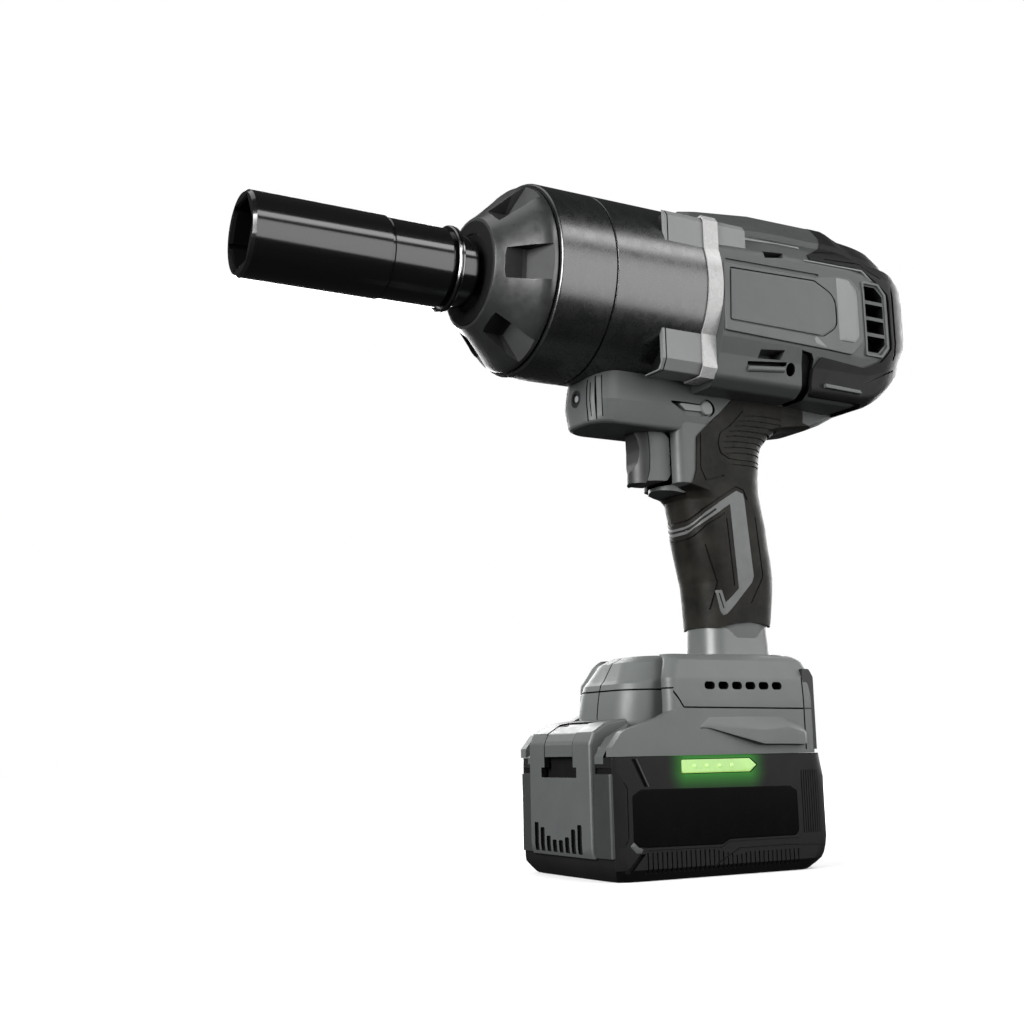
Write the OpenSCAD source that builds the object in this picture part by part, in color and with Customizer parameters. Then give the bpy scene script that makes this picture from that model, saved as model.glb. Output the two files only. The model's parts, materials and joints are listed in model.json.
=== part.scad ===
// Cordless impact wrench with a deep socket and a slide-on battery pack.
// Front of the tool is -Y, the tool's left side is +X, up is +Z.
// The origin is the centre of the battery's underside, where the tool stands.

/* [Layout] */
// Height of the output axis above the resting face
axis_z = 263.5; // [262:0.5:265]
// Facets of round parts, which are exact circles once built
$fn = 64; // [48:8:96]

/* [Socket and anvil] */
// Radius of the socket body
socket_r = 18.2; // [17.6:0.2:18.8]
// Y of the socket mouth
socket_front = -205; // [-208:1:-203]
// Size across flats of the hex mouth
hex_af = 27; // [24:1:28]
// Depth of the hex mouth
hex_depth = 30; // [24:1:34]
// Side of the square drive
square_drive = 12.7; // [12.6:0.05:12.8]
// Radius of the anvil shank
shank_r = 9.95; // [9.9:0.01:9.96]

/* [Hammer case] */
// Outer radius of the hammer case
case_r = 44; // [43.5:0.5:44]
// Y of the nose's front face
nose_y = -100.2; // [-101:0.2:-99.8]
// Radius of the nose's front face
nose_r = 25.2; // [24.6:0.2:26]
// Number of pockets round the nose
nose_pockets = 6; // [4:1:8]

/* [Hammer and gears] */
// Travel of the hammer against its spring
hammer_travel = 10; // [8:1:10]
// Radius of the cam shaft
cam_r = 12; // [11.98:0.01:12]
// Gear module
gear_module = 1; // [1:1:1]
// Teeth on the sun pinion
sun_teeth = 12; // [12:1:12]
// Teeth on each planet gear
planet_teeth = 18; // [18:1:18]
// Teeth on the ring gear
ring_teeth = 48; // [48:1:48]

/* [Motor] */
// Outer radius of the stator
stator_r = 32; // [31:0.5:32]
// Y of the stator's front and its length
stator_y = 46; // [46:0.5:47]
stator_len = 38; // [36:1:38]
// Radius of the fan
fan_r = 29; // [27:1:30]
// Number of fan blades
fan_blades = 11; // [9:2:13]

/* [Housing] */
// Half width of the motor housing
barrel_x = 43.5; // [43:0.5:44]
// Y of the housing's rear end, with its bumper
rear_y = 135; // [134:0.5:136]
// Wall thickness
wall = 2.5; // [2.2:0.1:2.8]
// Half width of the handle with its rubber
grip_x = 17.5; // [17:0.5:18.5]
// Thickness of the rubber
rubber = 2.2; // [2:0.1:2.4]
// Half width of the foot
foot_x = 38; // [37.5:0.5:38.5]

/* [Controls] */
// Travel of the trigger
trigger_travel = 7; // [5:1:7]
// Travel of the direction selector each way
selector_travel = 3; // [2:0.5:3]

/* [Battery] */
// Half width of the battery
battery_x = 39; // [38.5:0.5:39.5]
// Half length of the battery
battery_y = 60; // [59:0.5:61]
// Height of the battery's case
battery_h = 50; // [49.5:0.5:50]
// Radius of each cell
cell_r = 9.2; // [9:0.1:9.2]

/* [Hidden] */
eps = 0.02;
run_gap = 0.05;          // radial clearance of a running fit
play = 0.3;              // clearance between parts that move past each other
wide = 200;
case_front = -77.4;      // front shoulder of the hammer case
case_end = 7.4;          // where the trim band ends and the housing begins
spigot_end = 20;
cavity_front = -71;      // inner face of the hammer case's front wall
cavity_r = 38.5;
spigot_r = 41;
ears_y = -69.6;          // front of the anvil's ears
hammer_face = -60.7;     // front face of the hammer
hammer_end = -24;
hammer_r = 36;
spring_r = 24;
spring_wire = 2;
spring_front = -41.5;
spring_back = hammer_end + hammer_travel + 6;
spring_turns = 5;
ball_r = 3;
ball_y = -52;
planet_arm = gear_module * (sun_teeth + planet_teeth) / 2;
gear_y = -1.5;           // front of the planet gears
gear_len = 10;
plate_r = 24.5;
ring_r = 30;
boss_r = 22;
band_y = -0.5;
pad_front = -22;
pad_back = 24;
foot_z = 50.4;           // underside of the foot
foot_back = 53.5;
wedge = 3.6;             // how far the wedges stand out from the foot
rail_x = 25;
rail_z = 60;
selector_at = [15, 210.3];
screw_holes = [[40, 306.5], [92, 301], [48, 226], [96, 222], [42, 197], [47, 118], [-16, 76], [48.2, 69.4]];
dog_angle = 60;          // the hammer's dogs stand this far round from the anvil's ears
terminal_x = [-16, -6, 6, 16];
case_screws_at = [[24, -54.5], [28, 53.5]];
light_at = [-46, 211.5];
button_at = [27.5, 79.5];  // x and z of the speed button

// ---- helpers ----

function arc(cx, cy, r, a0, a1, n = 8) =
  [for (i = [0:n]) let (a = a0 + (a1 - a0) * i / n) [cx + r * cos(a), cy + r * sin(a)]];

// Children's +Z runs rearwards along the tool axis, from y
module on_axis(y) {
  translate([0, y, axis_z]) rotate([-90, 0, 0]) children();
}

// An outline in x and height above the axis, swept from y0 to y1
module section(y0, y1) {
  translate([0, y1, axis_z]) rotate([90, 0, 0]) linear_extrude(height = y1 - y0) children();
}

// An outline in y and z, swept from x0 to x1
module side(x0, x1) {
  translate([x0, 0, 0]) rotate([90, 0, 90]) linear_extrude(height = x1 - x0) children();
}

// An outline in x and y, swept from z0 to z1
module plan(z0, z1) {
  translate([0, 0, z0]) linear_extrude(height = z1 - z0) children();
}

// A symmetric outline from its right-hand points, listed from top to bottom
module both_sides(points) {
  polygon(concat(points, [for (i = [len(points) - 1:-1:0]) [-points[i][0], points[i][1]]]));
}

module ring(ri, ro, h) {
  difference() {
    cylinder(r = ro, h = h);
    translate([0, 0, -1]) cylinder(r = ri, h = h + 2);
  }
}

// A rod of radius r from point p to point q
module rod(p, q, r) {
  d = q - p;
  translate(p) rotate([0, acos(d[2] / norm(d)), atan2(d[1], d[0])]) cylinder(r = r, h = norm(d));
}

module block(low, high) {
  translate(low) cube(high - low);
}

// A closed coil of round wire about +Z, from 0 to length
module coil(r, wire, length, turns, steps = 18, sides = 8) {
  count = turns * steps;
  rise = length - 2 * wire;
  points = [for (i = [0:count], k = [0:sides - 1])
    let (a = 360 * i / steps, b = 360 * k / sides, q = r + wire * cos(b))
    [q * cos(a), q * sin(a), wire + rise * i / count + wire * sin(b)]];
  walls = [for (i = [0:count - 1], k = [0:sides - 1])
    let (n = (k + 1) % sides)
    [i * sides + k, i * sides + n, (i + 1) * sides + n, (i + 1) * sides + k]];
  first = [[for (k = [sides - 1:-1:0]) k]];
  last = [[for (k = [0:sides - 1]) count * sides + k]];
  polyhedron(points = points, faces = concat(first, walls, last));
}

// ---- involute gears ----

pressure = 25;
tooth_gap = 0.05;        // each flank is set back by this much for backlash

function involute(base, r) =
  let (roll = sqrt(max(0, (r / base) * (r / base) - 1))) roll * 180 / PI - atan(roll);

// Half angle of a tooth at radius r
function half_tooth(teeth, r, gap) =
  let (pitch_r = gear_module * teeth / 2, base = pitch_r * cos(pressure))
  90 / teeth - gap / pitch_r * 180 / PI + involute(base, pitch_r) - involute(base, max(r, base));

module gear_outline(teeth, add, ded, gap) {
  pitch_r = gear_module * teeth / 2;
  low = pitch_r - ded;
  high = pitch_r + add;
  steps = 5;
  radii = [for (i = [0:steps]) low + (high - low) * i / steps];
  polygon([for (t = [0:teeth - 1], s = [-1, 1], i = [0:steps])
    let (r = s < 0 ? radii[i] : radii[steps - i], a = 360 * t / teeth + s * half_tooth(teeth, r, gap))
    [r * cos(a), r * sin(a)]]);
}

module planet_gear() {
  linear_extrude(height = gear_len) difference() {
    rotate(180 / planet_teeth) gear_outline(planet_teeth, gear_module, 1.25 * gear_module, tooth_gap);
    circle(r = 2.5 + run_gap);
  }
}

module planet_at(i) {
  on_axis(gear_y) rotate(120 * i) translate([planet_arm, 0, 0]) planet_gear();
}

// ---- output ----

module socket() {
  color("dimgray") on_axis(socket_front) difference() {
    rotate_extrude() polygon([[0, 0], [socket_r - 1.2, 0], [socket_r, 1.2], [socket_r, 61],
      [socket_r - 0.8, 61.8], [socket_r - 0.8, 90], [16.4, 91], [16.4, 94.6], [16, 95], [16, 101.6],
      [15, 102.6], [0, 102.6]]);
    translate([0, 0, -1]) cylinder(r = hex_af / 2 / cos(30), h = hex_depth + 1, $fn = 6);
    translate([0, 0, -eps]) cylinder(r1 = hex_af / 2 / cos(30) + 0.6, r2 = hex_af / 2, h = 2.4);
    translate([0, 0, hex_depth - eps]) cylinder(r = 12.4, h = 50);
    translate([-square_drive / 2 - run_gap, -square_drive / 2 - run_gap, 70])
      cube([square_drive + 2 * run_gap, square_drive + 2 * run_gap, 40]);
  }
}

module socket_ring() {
  color("silver") on_axis(socket_front + 91.3) difference() {
    rotate_extrude() polygon([[16.45, 0], [18.6, 0], [19.2, 0.6], [19.2, 2.2], [18.6, 2.8], [16.45, 2.8]]);
  }
}

module anvil() {
  color("gray") difference() {
    union() {
      on_axis(-118) translate([-square_drive / 2, -square_drive / 2, 0])
        cube([square_drive, square_drive, 16.2]);
      on_axis(-102.2) cylinder(r = shank_r, h = 102.2 + ears_y + 1);
      on_axis(ears_y) cylinder(r = 15, h = 8.6);
      on_axis(ears_y) intersection() {
        cylinder(r = 33, h = 8.6);
        translate([-40, -8, 0]) cube([80, 16, 8.6]);
      }
    }
    on_axis(ears_y + 1.6) cylinder(r = 6, h = 20);
    on_axis(-113) ring(square_drive / 2 - 0.4, 12, 2.4);
  }
}

module friction_ring() {
  color("darkslategray") on_axis(-112.8) intersection() {
    ring(square_drive / 2 - 0.35, square_drive / 2 + 0.9, 2);
    translate([-square_drive / 2, -square_drive / 2, 0]) cube([square_drive, square_drive, 2]);
  }
}

module thrust_washer() {
  color("goldenrod") on_axis(cavity_front + 0.1) ring(shank_r + play, 22, 1.1);
}

module anvil_bush() {
  color("peru") on_axis(-98) ring(shank_r + run_gap, 14 - eps, 26);
}

module nose_seal() {
  color("black") on_axis(nose_y + 0.4) ring(shank_r + 0.1, 14 - eps, 1.7);
}

// ---- hammer case ----

module nose_cover() {
  color("slategray") on_axis(nose_y) difference() {
    rotate_extrude() polygon(concat([[boss_r + eps, 0], [nose_r - 1.5, 0]],
      arc(nose_r - 1.5, 1.5, 1.5, -90, -30, 3), [[36.5, 13.5], [41, 18.2], [42, 20.5], [42, 21.6],
      [boss_r + eps, 21.6]]));
    for (i = [0:nose_pockets - 1]) rotate(360 * i / nose_pockets)
      translate([27.5, -8.5, 3]) cube([20, 17, 15.8]);
  }
}

module hammer_case() {
  color("dimgray") on_axis(0) rotate_extrude() polygon([[14, -99.2], [boss_r, -99.2],
    [boss_r, -78.6], [case_r - 3, -78.6], [case_r - 3, case_front - 0.2], [case_r - 0.4, case_front],
    [case_r, case_front + 0.4], [case_r, -49.8], [case_r - 0.8, -49.4], [case_r, -49],
    [case_r, case_end], [spigot_r, case_end], [spigot_r, spigot_end], [cavity_r, spigot_end],
    [cavity_r, cavity_front], [14, cavity_front]]);
}

// ---- hammer, cam shaft and gears ----

module hammer() {
  color("dimgray") difference() {
    union() {
      on_axis(hammer_face) cylinder(r = hammer_r, h = hammer_end - hammer_face);
      on_axis(ears_y + play) rotate(dog_angle) intersection() {
        ring(17, 34, 9.5);
        translate([-40, -8, 0]) cube([80, 16, 9.5]);
      }
    }
    on_axis(-90) cylinder(r = cam_r + 0.06, h = 90);
    on_axis(-42) ring(18, 31, 30);
    for (s = [-1, 1]) {
      on_axis(-62) translate([0, s * cam_r, 0]) cylinder(r = ball_r + 0.15, h = 62 + ball_y);
      on_axis(ball_y) translate([0, s * cam_r, 0]) sphere(r = ball_r + 0.15);
    }
  }
}

module hammer_spring() {
  color("silver") on_axis(spring_front)
    coil(spring_r, spring_wire, spring_back - spring_front, spring_turns);
}

module cam_balls() {
  color("gainsboro") for (s = [-1, 1]) on_axis(ball_y) translate([0, s * cam_r, 0]) sphere(r = ball_r);
}

// One arm of the cam shaft's V groove
module cam_groove(s, turn) {
  q = cam_r;
  rod([0, s * q, ball_y], [q * sin(turn), s * q * cos(turn), ball_y + 11], ball_r + 0.15);
}

module cam_carrier() {
  color("gray") difference() {
    union() {
      on_axis(-67.5) cylinder(r = 5.95, h = 8);
      on_axis(-60.4) cylinder(r = cam_r, h = 60.4 - 6);
      on_axis(-8) cylinder(r = plate_r + 4, h = 2.1);
      on_axis(-6) cylinder(r = plate_r, h = 4);
      on_axis(9.1) cylinder(r = plate_r, h = 3.8);
      on_axis(12) cylinder(r = 10, h = 9);
      for (i = [0:2]) on_axis(-3) rotate(120 * i + 60) translate([18, 0, 0]) cylinder(r = 4, h = 13);
    }
    on_axis(-3) cylinder(r = 7.6, h = 30);
    for (i = [0:2]) on_axis(-5) rotate(120 * i) translate([planet_arm, 0, 0]) cylinder(r = 2.5, h = 30);
    on_axis(0) for (s = [-1, 1], turn = [-38, 38]) cam_groove(s, turn);
    on_axis(ball_y) for (s = [-1, 1]) translate([0, s * cam_r, 0]) sphere(r = ball_r + 0.15);
  }
}

module planet_pins() {
  color("silver") for (i = [0:2]) on_axis(-4.8) rotate(120 * i)
    translate([planet_arm, 0, 0]) cylinder(r = 2.49, h = 17.4);
}

module planet_gear_1() {
  color("silver") planet_at(0);
}

module planet_gear_2() {
  color("silver") planet_at(1);
}

module planet_gear_3() {
  color("silver") planet_at(2);
}

module ring_gear() {
  color("gray") on_axis(gear_y - 0.3) linear_extrude(height = gear_len + 0.6) difference() {
    circle(r = ring_r);
    rotate(180 / ring_teeth) gear_outline(ring_teeth, 1.25 * gear_module, gear_module, -tooth_gap);
  }
}

module gearbox_plate() {
  color("silver") on_axis(0) rotate_extrude() polygon([[ring_r + eps, -2], [cavity_r - 0.02, -2],
    [cavity_r - 0.02, 20], [16, 20], [16, 31], [11, 31], [11, 23.6], [9, 23.6], [9, 22], [16.0, 22],
    [16.0, 14.4], [26, 14.4], [26, 8.8], [ring_r + eps, 8.8]]);
}

module ball_bearing(ri, ro, w) {
  mid = (ri + ro) / 2;
  step = (ro - ri) * 0.3;
  ring(ri, ri + step, w);
  ring(ro - step, ro, w);
  for (i = [0:7]) rotate(45 * i) translate([mid, 0, w / 2]) sphere(r = (ro - ri) * 0.2 - 0.05);
}

module carrier_bearing() {
  color("silver") on_axis(14.6) ball_bearing(10 + run_gap, 15.98, 6.2);
}

// ---- motor ----

module rotor_shaft() {
  color("silver") {
    on_axis(-0.9) linear_extrude(height = 12)
      gear_outline(sun_teeth, gear_module, 1.25 * gear_module, tooth_gap);
    on_axis(11) cylinder(r = 4, h = 20.6);
    on_axis(31.5) cylinder(r = 5, h = 78.5);
    on_axis(109.9) cylinder(r = 4, h = 8.6);
  }
}

module rotor_core() {
  color("slategray") on_axis(stator_y + 1) ring(5.01, 15, stator_len - 2);
}

module rotor_magnets() {
  color("gray") for (i = [0:3]) on_axis(stator_y + 1) rotate(90 * i + 5)
    rotate_extrude(angle = 80) translate([15.02, 0]) square([2.6, stator_len - 2]);
}

module cooling_fan() {
  color("dimgray") on_axis(93) {
    ring(5.01, 9, 14);
    ring(8.9, fan_r, 1.6);
    for (i = [0:fan_blades - 1]) rotate(360 * i / fan_blades)
      translate([12, 0, 1.5]) cube([fan_r - 12.6, 1.4, 11.5]);
  }
}

module motor_bearings() {
  color("silver") {
    on_axis(23.8) ball_bearing(4 + run_gap, 10.98, 7);
    on_axis(111) ball_bearing(4 + run_gap, 10.98, 7);
  }
}

module stator_core() {
  color("slategray") on_axis(stator_y) {
    ring(27, stator_r, stator_len);
    for (i = [0:5]) rotate(60 * i) difference() {
      translate([18.6, -3, 0]) cube([8.8, 6, stator_len]);
      translate([0, 0, -1]) cylinder(r = 18.6, h = stator_len + 2);
    }
  }
}

module stator_windings() {
  color("orangered") on_axis(stator_y - 4) for (i = [0:5]) rotate(60 * i) difference() {
    translate([19.6, -6.2, 0]) cube([6, 12.4, stator_len + 8]);
    translate([19, -3.1, 3.9]) cube([8, 6.2, stator_len + 0.2]);
  }
}

module sensor_board() {
  color("darkgreen") on_axis(stator_y - 5.6) ring(12, 27, 1.6);
}

// ---- housing outlines ----

// Cross-section of the motor housing, inset by t
module barrel_section(t) {
  both_sides([[12 - t * 0.4, 50.5 - t], [20 - t * 0.6, 46.5 - t], [31 - t * 0.7, 38 - t * 0.8],
    [40 - t * 0.9, 29.5 - t * 0.5], [barrel_x - t, 22], [barrel_x - t, -24], [40.5 - t, -32],
    [36.5 - t, -44 + t * 0.3], [31 - t, -47.5 + t]]);
}

// Plan of the motor housing, inset by t
module barrel_plan(t) {
  r = 28;
  front = case_end + 0.1 + (t > 0 ? -1 : 0);
  points = concat([[barrel_x - t, front]], arc(barrel_x - r, rear_y - wall - r, r - t, 0, 90, 10));
  both_sides(points);
}

// Side outline of the motor housing, inset by t
module barrel_side(t) {
  back = rear_y - wall - t;
  front = case_end + 0.1 + (t > 0 ? -1 : 0);
  polygon([[front, axis_z + 44.6 - t], [14, axis_z + 46 - t], [45, axis_z + 50.5 - t],
    [88, axis_z + 50.5 - t], [97, axis_z + 45 - t], [back - 13, axis_z + 43.5 - t],
    [back - 4, axis_z + 37 - t], [back, axis_z + 26], [back, axis_z - 10], [back - 4, axis_z - 19 + t],
    [back - 13, axis_z - 32 + t], [back - 29, axis_z - 44 + t], [back - 40, axis_z - 47.5 + t],
    [front, axis_z - 47.5 + t]]);
}

module barrel(t) {
  intersection() {
    section(-10, rear_y) barrel_section(t);
    plan(axis_z - 60, axis_z + 60) barrel_plan(t);
    side(-60, 60) barrel_side(t);
  }
}

// The bar under the hammer case, which carries the lamp and the selector
module bar(t) {
  intersection() {
    side(-18.5 + t, 18.5 - t) polygon([[-46 + t, 199.6 + t], [18, 199.6 + t], [40, 203 + t],
      [60, 219.8], [-44 + t, 219.8]]);
    plan(190, 225) both_sides(concat([[18.5 - t, 80]], arc(6.5, -34, 12 - t, 0, -90, 6)));
  }
}

// Side outline of the handle and tail, inset by t
module handle_side(t) {
  polygon(concat([[-2 + t, 222], [-1.6 + t, 174], [5.5 + t, 171], [7.8 + t, 168],
    [9 + t, 158], [9.6 + t, 150], [10.8 + t, 144], [14.2 + t, 129], [15.2 + t, 104], [14.6 + t, 90]],
    [[54 - t, 90], [54 - t, 104], [55.6 - t, 112], [57 - t, 124], [57.4 - t, 132], [56.8 - t, 140],
    [55 - t, 156], [53.2 - t, 164], [52 - t, 174], [52.6 - t, 190]], arc(66, 192, 13 + t, 180, 90, 5),
    [[85, 208.5 + t], [103 - t, 216.5 + t], [111 - t, 222]]));
}

// The lip under the trigger
module chin() {
  intersection() {
    side(-10, 10) polygon([[-8, 171], [-7.6, 173.4], [8, 173.4], [10, 168], [6, 168], [-2, 169.6]]);
    plan(160, 180) both_sides(concat(arc(0, 2, 10, -90, 0, 8), [[10, 12]]));
  }
}

module handle(t) {
  intersection() {
    side(-grip_x + t, grip_x - t) handle_side(t);
    union() {
      plan(171.9, 222) both_sides([[grip_x - 4 - t, -3], [grip_x - t, 3], [grip_x - t, 95],
        [grip_x - 7 - t, 112 - t]]);
      plan(85, 172) both_sides(concat(arc(grip_x - 13, 22.2, 13 - t, -90, 0, 6),
        arc(grip_x - 13, 44.4, 13 - t, 0, 90, 6)));
    }
  }
}

// Foot that holds the battery, inset by t; a valley either side sets off its rounded front
module foot_plan(t) {
  sides = t > 0 ? [[27 - t, -14], [foot_x - t, -5]] : [[26.5, -17], [31, -17], [36, -27], [foot_x, -25]];
  both_sides(concat(arc(12, -27, 13 - t, -90, 0, 5), sides,
    arc(foot_x - 5.5, foot_back - 5.5, 5.5 - t, 0, 90, 5)));
}

// Skirts that run forward over the battery's shoulders
module skirts() {
  for (s = [-1, 1]) side(s > 0 ? foot_x - 4 : -foot_x, s > 0 ? foot_x : -foot_x + 4)
    polygon([[-57, foot_z], [-57, 54], [-52, 60.5], [-32, 66], [-20, 70], [-20, foot_z]]);
}

module foot_side(t) {
  back = foot_back - t;
  polygon([[-39 + t, foot_z + t], [-39 + t, 69], [-35.5 + t, 82], [-30 + t, 91.5 - t], [-24, 93.6 - t],
    [back - 4.5, 93.6 - t], [back, 88 - t / 2], [back, foot_z + t]]);
}

module foot(t) {
  intersection() {
    plan(foot_z, 100) foot_plan(t);
    side(-50, 50) foot_side(t);
    translate([0, -60, 0]) rotate([-90, 0, 0]) mirror([0, 1, 0]) linear_extrude(height = 130)
      both_sides([[21 - t, 94 - t], [31 - t, 91 - t], [36 - t, 84], [foot_x - t, 74],
        [foot_x - t, foot_z]]);
  }
}

// Wedge low on each side of the foot
module wedges() {
  intersection() {
    for (s = [-1, 1]) side(s > 0 ? foot_x - 1 : -foot_x - wedge, s > 0 ? foot_x + wedge : -foot_x + 1)
      polygon([[-12, 63], [-5, 67], [32, 67], [46, 59], [46, 54], [20, 54]]);
    translate([0, -60, 0]) rotate([-90, 0, 0]) mirror([0, 1, 0]) linear_extrude(height = 130)
      both_sides([[foot_x - 2, 70], [foot_x, 67], [foot_x + wedge, 58.6], [foot_x + wedge, 54],
        [foot_x - 2, 52]]);
    plan(50, 70) both_sides([[foot_x - 2, -14], [foot_x, -12], [foot_x + wedge, 20], [foot_x + wedge, 46],
      [foot_x - 2, 46]]);
  }
}

module neck(t) {
  intersection() {
    plan(88, 108) both_sides(concat(arc(grip_x - 12, 26.4, 12 - t, -90, 0, 5),
      arc(grip_x - 12, 43.6, 12 - t, 0, 90, 5)));
    side(-20, 20) polygon([[14.4 + t, 88], [14.4 + t, 107], [56 - t, 107], [56 - t, 88]]);
  }
}

// ---- housing halves ----

module bosses() {
  for (p = screw_holes) side(-36, 36) translate(p) circle(r = 3.7);
}

module housing_solid() {
  difference() {
    union() {
      difference() {
        barrel(0);
        side(-60, 60) polygon([[pad_front, axis_z + 60], [pad_front, axis_z - 60],
          [pad_back, axis_z - 60], [pad_back, axis_z - 24.3], [case_end, axis_z - 24.3],
          [case_end, axis_z + 13.8], [pad_back, axis_z + 13.8], [pad_back, axis_z + 60]]);
      }
      on_axis(case_end + 0.1) cylinder(r = barrel_x - play, h = pad_back);
      section(case_end + 0.1, pad_back + 1) both_sides([[12, 47.5], [20, 43], [20, 30]]);
      bar(0);
      handle(rubber);
      chin();
      neck(0);
      foot(0);
      skirts();
      wedges();
    }
    on_axis(-90) cylinder(r = case_r + 0.1, h = 90 + case_end + 0.1);
    on_axis(case_end - 1) cylinder(r = spigot_r + run_gap, h = spigot_end - case_end + 1.2);
  }
}

module housing_cavity() {
  difference() {
    union() {
      difference() {
        barrel(wall);
        section(0, spigot_end) square([100, 110], center = true);
      }
      on_axis(spigot_end) cylinder(r = 38.4, h = 8);
    }
    for (y = [50, 76]) on_axis(y) difference() {
      cylinder(r = 60, h = 3);
      translate([0, 0, -1]) cylinder(r = stator_r + run_gap, h = 5);
    }
    on_axis(110) difference() {
      union() {
        cylinder(r = 14, h = 9);
        translate([-60, -3, 0]) cube([120, 6, 9]);
        translate([-3, -60, 0]) cube([6, 120, 9]);
      }
      translate([0, 0, -1]) cylinder(r = 11, h = 9.2);
      translate([0, 0, -1]) cylinder(r = 6, h = 12);
    }
  }
}

module lower_cavity() {
  handle(rubber + wall);
  difference() {
    foot(wall);
    block([-60, -60, foot_z - 1], [60, 60, 62.6]);
    for (y = [-3, 22]) block([-40, y, 62], [40, y + 2, 66]);
  }
  block([-10.5, 18.5, 85], [10.5, 50.5, 109]);
  side(-14, 14) polygon([[0, 190], [44, 190], [46, 199], [60, 210], [60, 218], [0, 218]]);
  block([-11, -30, 174.5], [11, 6, 199.6]);
}

module rail_space() {
  block([-rail_x - 0.4, -60, foot_z - 1], [rail_x + 0.4, 50.4, rail_z + 0.4]);
  block([-rail_x - 4, -60, foot_z + 4], [rail_x + 4, 50.4, rail_z + 0.4]);
}

module housing_openings() {
  // exhaust vents either side of the fan, and slots in the side panels
  for (s = [-1, 1], i = [0:3]) translate([s * 40, 100.6, axis_z - 17.6 + 8.2 * i])
    cube([30, 12, 6], center = true);
  for (w = [17.6, -32.2], s = [-1, 1]) translate([s * (w > 0 ? 45 : 42), 38, axis_z + w])
    cube([8, 12, 3.4], center = true);
  // slots in the foot
  for (s = [-1, 1], i = [0:5]) translate([s * 37, -4.8 + 7.4 * i, 80])
    cube([10, 5, 3], center = true);
  // slots for the terminal blades
  for (x = terminal_x) block([x - 0.6, 29.9, 60], [x + 0.6, 46.1, 63]);
  // work lamp, selector and speed button
  translate([0, light_at[0] - 2, light_at[1]]) rotate([-90, 0, 0]) cylinder(r = 4.1, h = 12);
  translate([-30, selector_at[0], selector_at[1]]) rotate([0, 90, 0]) cylinder(r = 3.4, h = 60);
  block([-30, -4.4, selector_at[1] - 2.4], [30, selector_at[0], selector_at[1] + 2.4]);
  translate([button_at[0], 45, button_at[1]]) rotate([-90, 0, 0]) cylinder(r = 5.6, h = 30);
}

module housing_half(s) {
  difference() {
    intersection() {
      difference() {
        housing_solid();
        difference() {
          union() {
            housing_cavity();
            lower_cavity();
          }
          bosses();
        }
        rail_space();
        housing_openings();
      }
      block([s > 0 ? 0 : -wide, -wide, 0], [s > 0 ? wide : 0, wide, 2 * wide]);
    }
    for (p = screw_holes) side(-13, 9) translate(p) circle(r = 1.55);
    for (p = screw_holes) side(-60, -12) translate(p) circle(r = 3.1);
  }
}

module housing_left() {
  color("gray") housing_half(1);
}

module housing_right() {
  color("gray") housing_half(-1);
}

module rear_bumper() {
  color("#262626") difference() {
    intersection() {
      section(0, rear_y + 1) both_sides([[13, 52], [21, 48], [32, 39.5], [41, 30.5], [barrel_x + 0.9, 22.5],
        [barrel_x + 0.9, -24.5], [41.5, -33], [37.5, -45.5], [31.5, -49]]);
      plan(axis_z - 60, axis_z + 60) both_sides(concat([[barrel_x + 0.9, 0]],
        arc(barrel_x + 0.9 - 30, rear_y - 30, 30, 0, 90, 10)));
      side(-60, 60) polygon([[40, axis_z + 52], [88, axis_z + 51.4], [97, axis_z + 47],
        [121, axis_z + 45.5], [130, axis_z + 39], [rear_y, axis_z + 27], [rear_y, axis_z - 11],
        [131, axis_z - 21],
        [122, axis_z - 34], [106, axis_z - 46], [94, axis_z - 49], [40, axis_z - 49]]);
      side(-60, 60) polygon([[90, axis_z + 60], [93, axis_z + 27], [112, axis_z + 27], [118, axis_z + 20],
        [118, axis_z - 18], [112, axis_z - 25.5], [62, axis_z - 25.5], [58, axis_z - 34],
        [60, axis_z - 46], [98, axis_z - 46], [96, axis_z - 60], [160, axis_z - 60], [160, axis_z + 60]]);
    }
    barrel(0);
    handle(0);
    for (p = screw_holes) side(-60, -12) translate(p) circle(r = 3.1);
  }
}

module clamp_pads() {
  color("darkgray") difference() {
    for (s = [-1, 1]) mirror([s < 0 ? 1 : 0, 0, 0]) {
      section(pad_front, pad_back) polygon([[30, 14], [41.6, 14], [41.6, 28], [40, 30.2], [31, 30.2]]);
      section(pad_front, pad_back) polygon([[22, -24.5], [36.6, -24.5], [36.6, -40], [34, -43.8],
        [22, -43.8]]);
    }
    on_axis(pad_front - 1) cylinder(r = case_r + run_gap, h = 60);
  }
}

module pad_outline(grow) {
  for (s = [-1, 1]) mirror([s < 0 ? 1 : 0, 0, 0]) {
    polygon([[30, 14 - grow], [41.6 + grow, 14 - grow], [41.6 + grow, 28 + grow / 2],
      [40 + grow / 2, 30.2 + grow], [31, 30.2 + grow]]);
    polygon([[22, -24.5 + grow], [36.6 + grow, -24.5 + grow], [36.6 + grow, -40 - grow / 2],
      [34 + grow / 2, -43.8 - grow], [22, -43.8 - grow]]);
  }
}

module trim_band() {
  color("white") difference() {
    section(band_y, case_end) difference() {
      union() {
        circle(r = case_r + 0.9);
        pad_outline(0.8);
      }
      circle(r = case_r + run_gap);
      pad_outline(0);
    }
    block([-19, band_y - 1, 200], [19, case_end + 1, 222]);
  }
}

module badge_plates() {
  color("gray") for (s = [-1, 1])
    side(s > 0 ? barrel_x : -barrel_x - 0.9, s > 0 ? barrel_x + 0.9 : -barrel_x)
    polygon(concat([[12, axis_z + 6], [11, axis_z - 18]], arc(62, axis_z - 6, 12, -90, 90, 8)));
}

// ---- handle ----

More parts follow.
